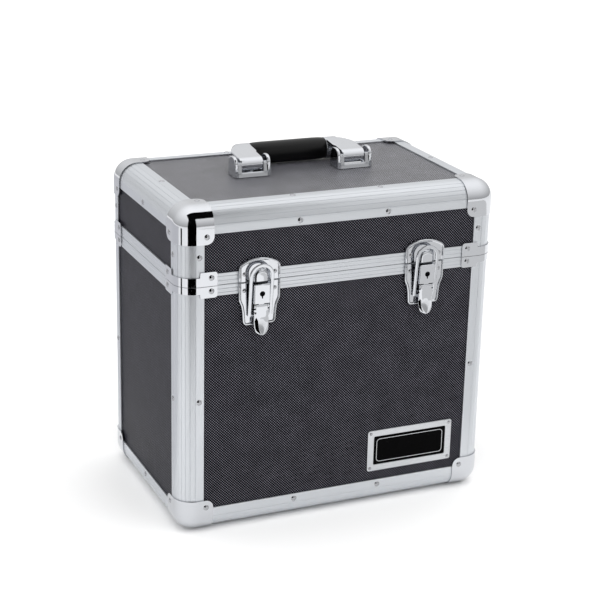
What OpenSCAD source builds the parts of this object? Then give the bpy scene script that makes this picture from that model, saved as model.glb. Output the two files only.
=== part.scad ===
// Record carrying case: laminated plywood panels in rounded aluminium edge profiles, a hinged lid,
// two key-lock draw latches, a folding top handle and riveted metal corners.
// Lengths are in millimetres. The origin is the centre of the footprint on the floor, +Z is up
// and the latches face -Y. Heights on the hardware are measured from the seam or the top face.

/* [Case] */
// Width over the edge profiles
case_w = 360; // [330:5:440]
// Depth over the edge profiles
case_d = 230; // [190:5:320]
// Height over the edge profiles
case_h = 355; // [320:5:420]
// Height of the lid above the seam
lid_h = 80.5; // [76:0.5:110]
// Gap between lid and body at the seam
seam_gap = 0.4; // [0.3:0.05:0.8]

/* [Panels] */
// Thickness of the laminated plywood
panel_t = 6.4; // [5:0.2:9]
// Room on each side of a panel in its channel
panel_fit = 0.2; // [0.1:0.05:0.3]

/* [Edge profiles] */
// Width of each leg of an edge profile
leg = 26.5; // [24:0.5:32]
// Outer radius of the rounded edge
round_r = 20; // [16:0.5:21]
// Wall of the outer skin
skin_t = 1.5; // [1.2:0.1:1.8]
// Wall of the inner angle and the webs
flange_t = 1.5; // [1:0.1:2]
// How far a panel's edge reaches behind the rounded part
edge_bite = 2.8; // [2:0.2:3.2]
// Clearance where lengths of profile meet end to end
butt_fit = 0.15; // [0.1:0.05:0.3]

/* [Seam profiles] */
// Visible band on the lid side of the seam
lid_band = 12; // [11:0.5:14]
// Visible band on the body side of the seam
body_band = 11; // [10:0.5:14]
// Height of the locating tongue on the body's rim
tongue_h = 3.2; // [2:0.2:3.6]
// Thickness of the tongue
tongue_t = 1.4; // [1:0.1:1.6]
// Clearance on each side of the tongue in its groove
tongue_fit = 0.6; // [0.4:0.05:0.8]

/* [Corner caps and brackets] */
// Thickness of the pressed corner sheet
sheet_t = 1.2; // [0.8:0.1:1.6]
// Clearance between corner sheet and profile
sheet_fit = 0.1; // [0.05:0.05:0.2]
// How far a cap reaches along each edge
cap_reach = 36.5; // [35:0.5:42]
// Radius of a cap's lobe round its rivet
lobe_r = 8.5; // [6:0.5:10]
// How far a seam bracket reaches from the corner
bracket_reach = 40; // [38:0.5:46]
// Where a seam bracket widens into its lobes
bracket_step = 21; // [20:0.5:24]
// Height of the lid bracket round the corner
lid_wrap_h = 9.5; // [7:0.5:11]
// Height of the lid bracket at its lobes
lid_lobe_h = 15; // [13:0.5:16]
// Height of the body bracket round the corner
body_wrap_h = 7.5; // [6:0.5:9]
// Height of the body bracket at its lobes
body_lobe_h = 12; // [10:0.5:14]

/* [Rivets] */
// Radius of a dome head on the profiles and corners
rivet_r = 3.1; // [2.5:0.1:3.4]
// Height of a dome head
rivet_h = 1.2; // [0.8:0.1:1.25]
// Radius of a shank
shank_r = 1.5; // [1.2:0.1:1.6]
// Length of a shank below the surface that it holds
shank_l = 6.2; // [5:0.2:6.6]
// Radius of the smaller dome heads on the hardware
small_rivet_r = 2.3; // [1.8:0.1:2.6]

/* [Latches] */
// Distance of each latch from the middle
latch_x = 94.5; // [80:0.5:110]
// Width of the latch plates
latch_w = 46; // [44:0.5:50]
// Height of the keeper plate above the seam
keeper_h = 25.3; // [24:0.1:30]
// Height of the base plate below the seam
base_h = 46.5; // [45:0.5:52]
// How far the front of the plates stands proud
plate_out = 1.9; // [1.6:0.1:2.2]
// Half width inside the draw ring
ring_in = 9.7; // [9.6:0.1:10.5]
// Width of the draw ring's strip
ring_w = 3.8; // [3:0.1:4.2]
// Thickness of the draw ring
ring_t = 2.4; // [2:0.1:2.4]
// Angle at which the draw ring leans off the plates
ring_lean = 5.7; // [5.6:0.1:7]
// Radius of the keyhole
keyhole_r = 2.9; // [2:0.1:3.2]

/* [Handle] */
// Distance of each handle bracket from the middle
bracket_x = 60; // [56:0.5:80]
// Width of a handle bracket
bracket_w = 41; // [38:0.5:46]
// Height of a handle bracket above the top face
bracket_h = 20.6; // [20:0.2:24]
// Distance from the pivot to the middle of the grip
arm_l = 40; // [38:0.5:55]
// Height of the pivot above the top face
pivot_h = 11; // [10.8:0.1:12]
// Radius of the grip
grip_r = 12.3; // [11:0.1:12.5]
// Radius of a handle pin
handle_pin_r = 2.2; // [1.8:0.1:2.6]

/* [Nameplate] */
// Width of the plate frame
plate_w = 103; // [80:1:110]
// Height of the plate frame
plate_h = 48; // [40:1:60]
// Width of the frame's border at the sides
plate_border = 7.5; // [6:0.5:9]
// Distance of the frame from the right edge of the case
plate_right = 40; // [30:1:60]
// Distance of the frame from the bottom edge of the case
plate_up = 37.5; // [30:0.5:60]

/* [Hinges] */
// Distance of each hinge from the middle
hinge_x = 95; // [80:1:110]
// Width of a hinge leaf
hinge_w = 50; // [44:1:60]
// Distance of the hinge pin behind the back face
hinge_out = 4.2; // [4.2:0.1:5]
// Radius of a hinge knuckle
knuckle_r = 3.6; // [3.2:0.1:3.8]
// Radius of the hinge pin
hinge_pin_r = 2; // [1.6:0.1:2.2]

/* [Linings] */
// Thickness of the foam pad on the floor
floor_foam_t = 10; // [6:1:20]
// Thickness of the foam pad in the lid
lid_foam_t = 12; // [6:1:20]

/* [Hidden] */
$fn = 48;

// Colours
laminate = [0.10, 0.10, 0.11];
profile_grey = [0.80, 0.81, 0.82];
chrome = [0.88, 0.89, 0.90];
dark = [0.04, 0.04, 0.045];
foam_grey = [0.20, 0.20, 0.21];

// Heights and depths that follow from the sizes above
sheet_out = sheet_fit + sheet_t;               // how far corner sheet stands proud of the profiles
base_z = sheet_out;                            // underside of the profiles; the caps stand on z = 0
top_z = base_z + case_h;
seam_z = top_z - lid_h;
body_top = seam_z - seam_gap / 2;
lid_bottom = seam_z + seam_gap / 2;
panel_face = skin_t + panel_fit + 0.1;         // depth of a panel's face below the profile's face
panel_back = panel_face + panel_t;
inner_face = panel_back + panel_fit / 2;       // outer side of a profile's inner angle
inner_wall = inner_face + flange_t;            // side of the inner angle that faces the records
panel_in = round_r - edge_bite;                // distance of a panel's edge from the case's corner
web_in = panel_in - panel_fit - flange_t;
half_w = case_w / 2;
half_d = case_d / 2;
body_web_t = 2;                                // web under the body rim's top
lid_web_t = tongue_h + 2;                      // web of the lid's rim, which holds the groove
tongue_in = 4.2;                               // depth of the tongue behind the outer face
eps = 0.01;

// Rivet places
rivet_in = 21;                                 // profile rivets, from the edge of the case
profile_rivet_x = 50;                          // rivets on the long edges, from the middle
lid_post_rivet = 30.7;                         // rivet on a lid post, above the seam
body_post_rivet = 149;                         // rivet on a body post, above the profiles' underside
cap_rivet = leg + shank_r + 0.5;               // cap rivets clear the profiles' legs
bracket_rivet_in = 6.5;                        // seam bracket rivets, from the bracket's end
bracket_rivet = bracket_reach - bracket_rivet_in;
lid_bracket_rivet = 9;                         // above the seam
body_bracket_rivet = 5.2;                      // below the seam
hole_fit = 0.1;

// Latch: x from the latch's middle, y = -out from the front face, z from the seam
plate_gap = 0.6;                               // from the seam to the edge of each latch plate
skirt_t = 1.2;
rib_w = 2.6;
rib_out = plate_out + 1.2;
keeper_arch_r = 38;                            // arched top of the keeper plate
foot_r = 4;                                    // rounded foot of the base plate
latch_rivet_x = 16.6;
keeper_rivet_z = 9;
base_rivet_z = -8.5;
housing_w = 2 * (ring_in - 0.8);
housing_out = 10;
housing_top = -0.8;
housing_bottom = -21.6;
wall_t = 1.5;                                  // front and top of the lock's housing
side_wall_t = 1;
lock_z = -11.2;
pivot_out = 6.2;                               // the lever's pin
pivot_z = -25.3;
barrel_r = 2.8;
lever_pin_r = 1.4;
hook_out = plate_out + 1.7;                    // where the ring's ends sit in the lever
hook_z = -35;
running_fit = 0.06;
lever_t = 1.6;
lever_half = 8.1;
bend_z = -36.5;                                // where the lever's plate bends out into the thumb tab
tab_z = -41;                                   // where the tab starts to narrow
tab_low = -55;                                 // the tab's lower end
tab_out = 3.4;                                 // how far the tab's end stands off the plate
cheek_up = 5;                                  // the cheeks that hold the ring, above and below its ends
cheek_down = 3;
lip_half = 3;
ear_in = 6.6;
ear_out = 8.2;
ear_r = 2.6;
dome_crest = 7.2;
dome_half = 9;
dome_low = 0.8;
dome_rise = 5;
dome_edge = 4;                                 // radius of the hook's rounded front edge
lip_top = -17.8;                               // top of the lever's lip, behind the housing's front
lip_t = 1.2;
lip_in = pivot_out + 0.6;                      // rear side of the lip
cam_half = 1.2;
cam_reach = 7.5;                               // turns inside the housing with 0.3 to spare
ring_out = ring_in + ring_w;
ring_leg = 42.4;

// Handle: x from the middle of the case, y from the middle, z from the top face
arm_half = 13.3;
bracket_deep = 11;
cheek_t = 3.5;
grip_half = 44;
cap_len = 20;
arm_t = 3.4;
arm_lift = 6.3;                                // slope of the arms' straps in degrees
strap_top = 18.6;
arm_roll_r = strap_top - pivot_h + 0.1;        // the roll at an arm's end, round the pin
screw_r = 2;
screw_in = 4.5;                                // screws from the bracket's front and back

plate_x = half_w - plate_right - plate_w / 2;
plate_z = base_z + plate_up + plate_h / 2;
plate_border_z = plate_border - 0.3;
plate_rivet_in = 3.5;
knuckle_n = 5;
leaf_t = 1.5;
leaf_start = knuckle_r + 0.3;
lid_leaf_h = 27;
body_leaf_h = 38;
leaf_rivet_near = 8;                           // leaf rivets, from the seam
leaf_rivet_far = 6;                            // and from the leaf's free edge
leaf_rivet_side = 7;                           // and from its ends
knuckle_gap = 0.3;
record_fit = 0.5;                              // room round the foam pads

// A square whose corner at the origin is rounded
module round_corner_square(size, r) {
    intersection() {
        square(size);
        union() {
            translate([r, 0]) square(size);
            translate([0, r]) square(size);
            translate([r, r]) circle(r);
        }
    }
}

// Places what it is given at the four upright edges, with x and y measured inwards
module each_edge() {
    for (mx = [0, 1], my = [0, 1])
        mirror([mx, 0, 0]) mirror([0, my, 0]) translate([-half_w, -half_d, 0]) children();
}

// Draws a y-z outline and gives it a width along x
module along_x(length) {
    translate([-length / 2, 0, 0]) rotate([90, 0, 90]) linear_extrude(length) children();
}

// A round bar along x, centred
module bar_x(r, length) {
    rotate([0, 90, 0]) cylinder(r = r, h = length, center = true);
}

// Section of an edge profile: rounded skin, inner angle and the two webs that stop the panels
module edge_section() {
    difference() {
        round_corner_square(leg, round_r);
        translate([skin_t, skin_t]) round_corner_square(leg, round_r - skin_t);
    }
    difference() {
        translate([inner_face, inner_face]) square(leg - inner_face);
        translate([inner_wall, inner_wall]) square(leg);
    }
    for (turn = [0, 1])
        mirror([turn, -turn]) translate([web_in, skin_t * 0.8])
            square([flange_t, inner_face - skin_t * 0.8 + flange_t / 2]);
}

// The inner angle alone, for the stretch that runs on behind a corner cap
module inner_angle_section() {
    difference() {
        translate([inner_face, inner_face]) square(leg - inner_face);
        translate([inner_wall, inner_wall]) square(leg);
    }
}

// Section of a seam profile, y inwards from the face and z away from the seam
module rim_section(band, web) {
    square([skin_t, band]);
    translate([inner_face, 0]) square([flange_t, band]);
    square([inner_wall, web]);
}

// A block whose three edges at the origin are rounded and meet in a ball
module ball_corner_block(r, reach) {
    translate([r, r, 0]) rotate([0, 0, 180]) rotate_extrude(angle = 90) {
        translate([0, r]) square([r, reach - r]);
        intersection() {
            translate([0, r]) circle(r);
            square([r, r]);
        }
    }
    translate([r, 0, 0]) rotate([90, 0, 90]) linear_extrude(reach - r) round_corner_square(reach, r);
    translate([0, reach, 0]) rotate([90, 0, 0]) linear_extrude(reach - r) intersection() {
        round_corner_square(reach, r);
        square([r, reach]);
    }
}

// Dome rivet with its head on z = 0 and its shank below
module dome_rivet(r, h, length) {
    ball = (r * r + h * h) / (2 * h);
    rotate_extrude() {
        intersection() {
            translate([0, h - ball]) circle(ball);
            square([r, h]);
        }
        translate([0, -length]) square([shank_r, length + eps]);
    }
}

module shank_hole() {
    translate([0, 0, -shank_l - 1]) cylinder(r = shank_r + hole_fit, h = shank_l + 4);
}

// Both walls next to each upright edge
module on_walls(in, z) {
    each_edge() {
        translate([in, 0, z]) rotate([90, 0, 0]) children();
        translate([0, in, z]) rotate([0, -90, 0]) children();
    }
}

module on_front_back(x, z) {
    for (mx = [0, 1], my = [0, 1])
        mirror([mx, 0, 0]) mirror([0, my, 0]) translate([x, -half_d, z]) rotate([90, 0, 0]) children();
}

module on_sides(z) {
    for (mx = [0, 1]) mirror([mx, 0, 0]) translate([-half_w, 0, z]) rotate([0, -90, 0]) children();
}

module on_level(z, turn) {
    for (mx = [0, 1], my = [0, 1])
        mirror([mx, 0, 0]) mirror([0, my, 0]) translate([profile_rivet_x, half_d - rivet_in, z])
            rotate([turn, 0, 0]) children();
    for (mx = [0, 1])
        mirror([mx, 0, 0]) translate([half_w - rivet_in, 0, z]) rotate([turn, 0, 0]) children();
}

module body_wall_places() {
    on_walls(rivet_in, base_z + body_post_rivet) children();
    on_front_back(profile_rivet_x, base_z + rivet_in) children();
    on_sides(base_z + rivet_in) children();
}

module lid_profile_places() {
    on_walls(rivet_in, seam_z + lid_post_rivet) children();
    on_front_back(profile_rivet_x, top_z - rivet_in) children();
    on_sides(top_z - rivet_in) children();
    on_level(top_z, 0) children();
}

module body_sheet_places() {
    on_walls(cap_rivet, base_z + cap_rivet) children();
    on_walls(bracket_rivet, seam_z - body_bracket_rivet) children();
}

module lid_sheet_places() {
    on_walls(cap_rivet, top_z - cap_rivet) children();
    on_walls(bracket_rivet, seam_z + lid_bracket_rivet) children();
    each_edge() translate([cap_rivet, cap_rivet, top_z]) children();
}

module base_cap_places() {
    each_edge() translate([cap_rivet, cap_rivet, base_z]) rotate([180, 0, 0]) children();
}

// Each latch's place on the front, with the seam at z = 0
module at_latch(side) {
    translate([side * latch_x, -half_d, seam_z]) children();
}

module keeper_places(side) {
    at_latch(side) for (x = [-latch_rivet_x, latch_rivet_x])
        translate([x, 0, keeper_rivet_z]) rotate([90, 0, 0]) children();
}

module latch_base_places(side) {
    at_latch(side) for (x = [-latch_rivet_x, latch_rivet_x])
        translate([x, 0, base_rivet_z]) rotate([90, 0, 0]) children();
}

module nameplate_places() {
    for (sx = [-1, 1], sz = [-1, 1])
        translate([plate_x + sx * (plate_w / 2 - plate_rivet_in), -half_d + panel_face,
            plate_z + sz * (plate_h / 2 - plate_rivet_in)]) rotate([90, 0, 0]) children();
}

// Places of a hinge leaf's rivets, with the seam at z = 0
module leaf_rivet_places(height, up) {
    for (x = [-1, 1], z = [leaf_rivet_near, height - leaf_rivet_far])
        translate([x * (hinge_w / 2 - leaf_rivet_side), 0, up * z]) rotate([-90, 0, 0]) children();
}

module hinge_lid_places(side) {
    at_hinge(side) leaf_rivet_places(lid_leaf_h, 1) children();
}

module hinge_body_places(side) {
    at_hinge(side) leaf_rivet_places(body_leaf_h, -1) children();
}

module screw_places(side) {
    for (y = [-1, 1]) translate([side * bracket_x, y * (bracket_deep - screw_in), 0]) children();
}

module body_holes() {
    body_wall_places() shank_hole();
    on_level(base_z, 180) shank_hole();
    body_sheet_places() shank_hole();
    base_cap_places() shank_hole();
    nameplate_places() shank_hole();
    for (side = [-1, 1]) {
        latch_base_places(side) shank_hole();
        hinge_body_places(side) shank_hole();
    }
}

module lid_holes() {
    lid_profile_places() shank_hole();
    lid_sheet_places() shank_hole();
    for (side = [-1, 1]) {
        keeper_places(side) shank_hole();
        hinge_lid_places(side) shank_hole();
    }
}

// ---- panels ----

module wall_panel_x(low, high) {
    color(laminate) translate([-half_w + panel_in, -half_d + panel_face, low])
        cube([case_w - 2 * panel_in, panel_t, high - low]);
}

module wall_panel_y(low, high) {
    color(laminate) translate([-half_w + panel_face, -half_d + panel_in, low])
        cube([panel_t, case_d - 2 * panel_in, high - low]);
}

module level_panel(z) {
    color(laminate) translate([-half_w + panel_in, -half_d + panel_in, z])
        cube([case_w - 2 * panel_in, case_d - 2 * panel_in, panel_t]);
}

body_panel_low = base_z + panel_in;
body_panel_high = body_top - body_web_t - panel_fit;
lid_panel_low = lid_bottom + lid_web_t + panel_fit;
lid_panel_high = top_z - panel_in;

module body_wall_x(back) {
    difference() {
        mirror([0, back, 0]) wall_panel_x(body_panel_low, body_panel_high);
        body_holes();
    }
}

module body_wall_y(right) {
    difference() {
        mirror([right, 0, 0]) wall_panel_y(body_panel_low, body_panel_high);
        body_holes();
    }
}

module body_base_panel() {
    difference() {
        level_panel(base_z + panel_face);
        body_holes();
    }
}

module lid_wall_x(back) {
    difference() {
        mirror([0, back, 0]) wall_panel_x(lid_panel_low, lid_panel_high);
        lid_holes();
    }
}

module lid_wall_y(right) {
    difference() {
        mirror([right, 0, 0]) wall_panel_y(lid_panel_low, lid_panel_high);
        lid_holes();
    }
}

module lid_top_panel() {
    difference() {
        level_panel(top_z - panel_back);
        lid_holes();
        for (side = [-1, 1]) screw_places(side)
            translate([0, 0, top_z - panel_back - 1]) cylinder(r = screw_r + 0.2, h = panel_t + 2);
    }
}

// ---- edge and seam profiles ----

// An upright post: the full section from the seam to where the cap's ball starts, then the inner angle
module post(length) {
    linear_extrude(length - round_r) edge_section();
    translate([0, 0, length - round_r]) linear_extrude(round_r - inner_wall) inner_angle_section();
}

module body_corner_posts() {
    color(profile_grey) difference() {
        each_edge() translate([0, 0, body_top]) mirror([0, 0, 1]) post(body_top - base_z);
        body_holes();
    }
}

module lid_corner_posts() {
    color(profile_grey) difference() {
        each_edge() translate([0, 0, lid_bottom]) post(top_z - lid_bottom);
        lid_holes();
    }
}

// The four lower edge profiles, drawn with the case's base at z = 0
module level_profiles() {
    for (my = [0, 1]) mirror([0, my, 0]) translate([0, -half_d, 0])
        along_x(case_w - 2 * (leg + butt_fit)) edge_section();
    for (mx = [0, 1]) mirror([mx, 0, 0]) translate([-half_w, half_d - leg - butt_fit, 0])
        rotate([90, 0, 0]) linear_extrude(case_d - 2 * (leg + butt_fit)) edge_section();
}

module base_edge_profiles() {
    color(profile_grey) difference() {
        translate([0, 0, base_z]) level_profiles();
        body_holes();
    }
}

module top_edge_profiles() {
    color(profile_grey) difference() {
        translate([0, 0, top_z]) mirror([0, 0, 1]) level_profiles();
        lid_holes();
    }
}

module rim_lengths() {
    for (my = [0, 1]) mirror([0, my, 0]) translate([0, -half_d, 0])
        along_x(case_w - 2 * (leg + butt_fit)) children();
    for (mx = [0, 1]) mirror([mx, 0, 0]) translate([-half_w, half_d - leg - butt_fit, 0])
        rotate([90, 0, 0]) linear_extrude(case_d - 2 * (leg + butt_fit)) children();
}

// The tongue runs along the front and the sides; the hinged back has none, so that the lid can turn
module tongue(height, width) {
    run = case_w - 2 * (leg + butt_fit);
    side_run = case_d - 2 * (leg + butt_fit);
    inset = tongue_in - (width - tongue_t) / 2;
    translate([-run / 2, -half_d + inset, 0]) cube([run, width, height]);
    for (mx = [0, 1]) mirror([mx, 0, 0]) translate([-half_w + inset, -side_run / 2, 0])
        cube([width, side_run, height]);
}

module body_rim_profiles() {
    color(profile_grey) difference() {
        union() {
            translate([0, 0, body_top]) mirror([0, 0, 1]) rim_lengths() rim_section(body_band, body_web_t);
            translate([0, 0, body_top - 1]) tongue(tongue_h + 1, tongue_t);
        }
        body_holes();
    }
}

module lid_rim_profiles() {
    color(profile_grey) difference() {
        translate([0, 0, lid_bottom]) rim_lengths() rim_section(lid_band, lid_web_t);
        translate([0, 0, lid_bottom - 1]) tongue(tongue_h + 1.4, tongue_t + 2 * tongue_fit);
        lid_holes();
    }
}

// ---- corner sheet ----

module corner_cap() {
    difference() {
        translate([-sheet_out, -sheet_out, -sheet_out])
            ball_corner_block(round_r + sheet_out, cap_reach + sheet_out);
        translate([-sheet_fit, -sheet_fit, -sheet_fit])
            ball_corner_block(round_r + sheet_fit, cap_reach + sheet_fit + 2);
        for (face = [0, 1, 2]) lobe_cut(face);
        cap_holes();
    }
}

// Rounds the free corner of one of the cap's three faces
module lobe_cut(face) {
    near = cap_reach - lobe_r;
    turn = [[0, 0, 0], [90, 0, 90], [-90, -90, 0]];
    rotate(turn[face]) translate([near, near, -sheet_out - 1]) difference() {
        cube([lobe_r + 1, lobe_r + 1, sheet_out + 2]);
        translate([0, 0, -1]) cylinder(r = lobe_r, h = sheet_out + 4);
    }
}

module cap_holes() {
    turn = [[0, 0, 0], [90, 0, 90], [-90, -90, 0]];
    for (face = [0, 1, 2]) rotate(turn[face]) translate([cap_rivet, cap_rivet, -sheet_out - 1])
        cylinder(r = shank_r + hole_fit, h = sheet_out + 3);
}

module base_corner_caps() {
    color(chrome) each_edge() translate([0, 0, base_z]) corner_cap();
}

module top_corner_caps() {
    color(chrome) each_edge() translate([0, 0, top_z]) mirror([0, 0, 1]) corner_cap();
}

// Plan of a seam bracket: a strip that follows the rounded edge
module bracket_plan() {
    reach = bracket_reach + sheet_out;
    difference() {
        translate([-sheet_out, -sheet_out]) round_corner_square(reach, round_r + sheet_out);
        translate([-sheet_fit, -sheet_fit]) round_corner_square(reach + 2, round_r + sheet_fit);
    }
}

// Half a seam bracket, standing on the seam: low round the corner, higher where its rivets go
module seam_bracket(wrap_h, lobe_h, rivet_z) {
    difference() {
        linear_extrude(lobe_h) bracket_plan();
        translate([-sheet_out - 1, -sheet_out - 1, wrap_h])
            cube([bracket_step + sheet_out + 1, bracket_step + sheet_out + 1, lobe_h]);
        translate([bracket_rivet, 1, rivet_z]) rotate([90, 0, 0])
            cylinder(r = shank_r + hole_fit, h = sheet_out + 3);
        translate([1, bracket_rivet, rivet_z]) rotate([0, -90, 0])
            cylinder(r = shank_r + hole_fit, h = sheet_out + 3);
    }
}

module body_seam_brackets() {
    color(chrome) each_edge() translate([0, 0, body_top]) mirror([0, 0, 1])
        seam_bracket(body_wrap_h, body_lobe_h, body_bracket_rivet - seam_gap / 2);
}

module lid_seam_brackets() {
    color(chrome) each_edge() translate([0, 0, lid_bottom])
        seam_bracket(lid_wrap_h, lid_lobe_h, lid_bracket_rivet - seam_gap / 2);
}

// ---- rivets ----

module body_rivets() {
    color(chrome) {
        body_wall_places() dome_rivet(rivet_r, rivet_h, shank_l);
        on_level(base_z, 180) dome_rivet(rivet_r, min(rivet_h, sheet_out - 0.1), shank_l);
        body_sheet_places() translate([0, 0, sheet_out]) dome_rivet(rivet_r, rivet_h, shank_l + sheet_out);
        base_cap_places() translate([0, 0, -shank_l]) cylinder(r = shank_r, h = shank_l + sheet_out - 0.1);
    }
}

module lid_rivets() {
    color(chrome) {
        lid_profile_places() dome_rivet(rivet_r, rivet_h, shank_l);
        lid_sheet_places() translate([0, 0, sheet_out]) dome_rivet(rivet_r, rivet_h, shank_l + sheet_out);
    }
}

module keeper_rivets() {
    color(chrome) for (side = [-1, 1]) keeper_places(side)
        translate([0, 0, plate_out]) dome_rivet(small_rivet_r, rivet_h, shank_l + plate_out);
}

module latch_base_rivets() {
    color(chrome) for (side = [-1, 1]) latch_base_places(side)
        translate([0, 0, plate_out]) dome_rivet(small_rivet_r, rivet_h, shank_l + plate_out);
}

// ---- foam pads ----

module foam_pad(z, thickness) {
    gap = inner_wall + record_fit;
    color(foam_grey) translate([-half_w + gap, -half_d + gap, z])
        cube([case_w - 2 * gap, case_d - 2 * gap, thickness]);
}

module floor_foam() {
    foam_pad(base_z + inner_wall + 0.1, floor_foam_t);
}

module lid_foam() {
    foam_pad(top_z - inner_wall - 0.1 - lid_foam_t, lid_foam_t);
}

// ---- latches ----

// Front view of the keeper plate: straight sides and an arched top
module keeper_outline(inset) {
    half = latch_w / 2 - inset;
    top = keeper_h - inset;
    arch_r = keeper_arch_r - inset;
    low = plate_gap + (inset > 0 ? -1 : 0);
    intersection() {
        translate([-half, low]) square([2 * half, top - low]);
        translate([0, top - arch_r]) circle(arch_r);
    }
}

// Front view of the base plate: full width at the top, then narrowing to a rounded foot
module base_outline(inset) {
    half = latch_w / 2 - inset;
    low = -base_h + inset;
    foot = half - 5;
    high = -plate_gap + (inset > 0 ? 1 : 0);
    polygon([
        [-half, high], [half, high], [half, -19.5], [half - 2.8, -25], [half - 4, -32],
        [foot, low + foot_r], [-foot, low + foot_r], [4 - half, -32], [2.8 - half, -25], [-half, -19.5]
    ]);
    for (s = [-1, 1]) translate([s * (foot - foot_r), low + foot_r]) circle(foot_r);
    translate([foot_r - foot, low]) square([2 * (foot - foot_r), 2 * foot_r]);
}

// Gives a front view outline its depth: from 'back' to 'front' outwards of the case's face
module latch_sheet(back, front) {
    translate([0, -back, 0]) rotate([90, 0, 0]) linear_extrude(front - back) children();
}

panel_depth = panel_fit / 2 - panel_face;      // the panel's face, with a small clearance

module latch_keeper(side) {
    color(chrome) at_latch(side) difference() {
        union() {
            latch_sheet(sheet_fit, plate_out) keeper_outline(0);
            latch_sheet(panel_depth, sheet_fit + eps) intersection() {
                keeper_outline(0);
                translate([-latch_w, lid_band + 0.2]) square([2 * latch_w, keeper_h]);
            }
            latch_sheet(sheet_fit, rib_out) for (s = [-1, 1]) intersection() {
                keeper_outline(0);
                translate([s * (latch_w / 2 - rib_w / 2) - rib_w / 2, plate_gap]) square([rib_w, keeper_h]);
            }
            keeper_dome();
        }
        latch_sheet(panel_depth - 1, sheet_fit) intersection() {
            keeper_outline(skirt_t);
            translate([-latch_w, lid_band + 0.2 + skirt_t]) square([2 * latch_w, keeper_h]);
        }
        for (x = [-latch_rivet_x, latch_rivet_x]) translate([x, 1, keeper_rivet_z]) rotate([90, 0, 0])
            cylinder(r = shank_r + hole_fit, h = plate_out + 3);
    }
}

// The hook: a boss with a flat underside and rounded front edges, which the ring lies round
module keeper_dome() {
    rise = dome_crest - sheet_fit;
    difference() {
        translate([0, -sheet_fit, dome_low + dome_rise]) rotate([90, 0, 0]) rotate_extrude()
            dome_section(rise);
        translate([-dome_half - 1, -dome_crest - 1, dome_low - dome_half])
            cube([2 * dome_half + 2, dome_crest + 2, dome_half]);
    }
    translate([0, -sheet_fit, dome_low]) linear_extrude(dome_rise) for (s = [0, 1])
        mirror([s, 0]) mirror([0, 1]) dome_section(rise);
}

// Half of the hook's section: straight side, rounded front edge, flat front
module dome_section(rise) {
    square([dome_half - dome_edge, rise]);
    square([dome_half, rise - dome_edge]);
    translate([dome_half - dome_edge, rise - dome_edge]) intersection() {
        circle(dome_edge);
        square(dome_edge);
    }
}

module latch_base(side) {
    color(chrome) at_latch(side) difference() {
        union() {
            latch_sheet(sheet_fit, plate_out) base_outline(0);
            latch_sheet(panel_depth, sheet_fit + eps) intersection() {
                base_outline(0);
                translate([-latch_w, -base_h - 1]) square([2 * latch_w, base_h + 1 - body_band - 0.2]);
            }
            latch_sheet(sheet_fit, rib_out) difference() {
                base_outline(0);
                base_outline(rib_w);
            }
            latch_sheet(sheet_fit, housing_out) translate([-housing_w / 2, housing_bottom])
                square([housing_w, housing_top - housing_bottom]);
            for (s = [-1, 1]) lever_ear(s);
        }
        latch_sheet(panel_depth - 1, sheet_fit) intersection() {
            base_outline(skirt_t);
            translate([-latch_w, -base_h - 1])
                square([2 * latch_w, base_h + 1 - body_band - 0.2 - skirt_t]);
        }
        housing_hollow();
        translate([0, -housing_out, lock_z]) keyhole_cut(wall_t + 1);
        translate([0, -pivot_out, pivot_z]) bar_x(lever_pin_r + running_fit, 3 * ear_out);
        translate([-3.5, -plate_out - 1, pivot_z - 2.2]) cube([7, plate_out + 4, 9.6]);
        for (x = [-latch_rivet_x, latch_rivet_x]) translate([x, 1, base_rivet_z]) rotate([90, 0, 0])
            cylinder(r = shank_r + hole_fit, h = plate_out + 3);
    }
    color(dark) at_latch(side) translate([0, -plate_out + eps, lock_z]) rotate([90, 0, 0])
        cylinder(r = 1.2, h = housing_out - wall_t - plate_out - 0.6);
}

// The housing is open at the back of its front wall and at the bottom, where the lever's lip enters
module housing_hollow() {
    translate([-housing_w / 2 + side_wall_t, -housing_out + wall_t, housing_bottom - 1])
        cube([housing_w - 2 * side_wall_t, housing_out - wall_t - plate_out,
            housing_top - wall_t - housing_bottom + 1]);
}

// Keyhole: a round hole with a short slot below, cut through the housing's front wall
module keyhole_cut(depth) {
    translate([0, -1, 0]) rotate([-90, 0, 0]) {
        cylinder(r = keyhole_r, h = depth + 1);
        translate([-0.7, 0, 0]) cube([1.4, keyhole_r + 2.2, depth + 1]);
    }
}

// An ear that carries the lever's pin, beside the lever's barrel
module lever_ear(s) {
    middle = (ear_in + ear_out) / 2;
    translate([s * middle, 0, 0]) {
        translate([0, -pivot_out, pivot_z]) bar_x(ear_r, ear_out - ear_in);
        translate([-(ear_out - ear_in) / 2, -pivot_out, pivot_z - ear_r])
            cube([ear_out - ear_in, pivot_out - sheet_fit - eps, 2 * ear_r]);
    }
}

// Side view of the lever's plate, from the barrel down to the thumb tab
module lever_profile() {
    front = pivot_out + barrel_r;
    polygon([
        [-front, pivot_z], [-front, bend_z], [-front - tab_out, tab_low],
        [-front - tab_out + lever_t, tab_low], [-front + lever_t, bend_z - 0.4], [-front + lever_t, pivot_z]
    ]);
}

// The thumb tab's end from right to left, a squarish ellipse: |x / a|^3 + |z / b|^3 = 1
function tab_end() = [
    for (turn = [0 : 9 : 180]) [
        lever_half * sign(cos(turn)) * pow(abs(cos(turn)), 2 / 3),
        tab_z + (tab_low - tab_z) * pow(sin(turn), 2 / 3)
    ]
];

// Front view of the lever: narrow at the barrel, wide in the middle, rounded at the thumb tab's end
module lever_front() {
    narrow = ear_in - 0.3;
    wide_z = pivot_z - barrel_r - 0.5;
    polygon(concat([[-narrow, pivot_z + 1], [narrow, pivot_z + 1], [narrow, wide_z], [lever_half, wide_z]],
        tab_end(), [[-lever_half, wide_z], [-narrow, wide_z]]));
}

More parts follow.
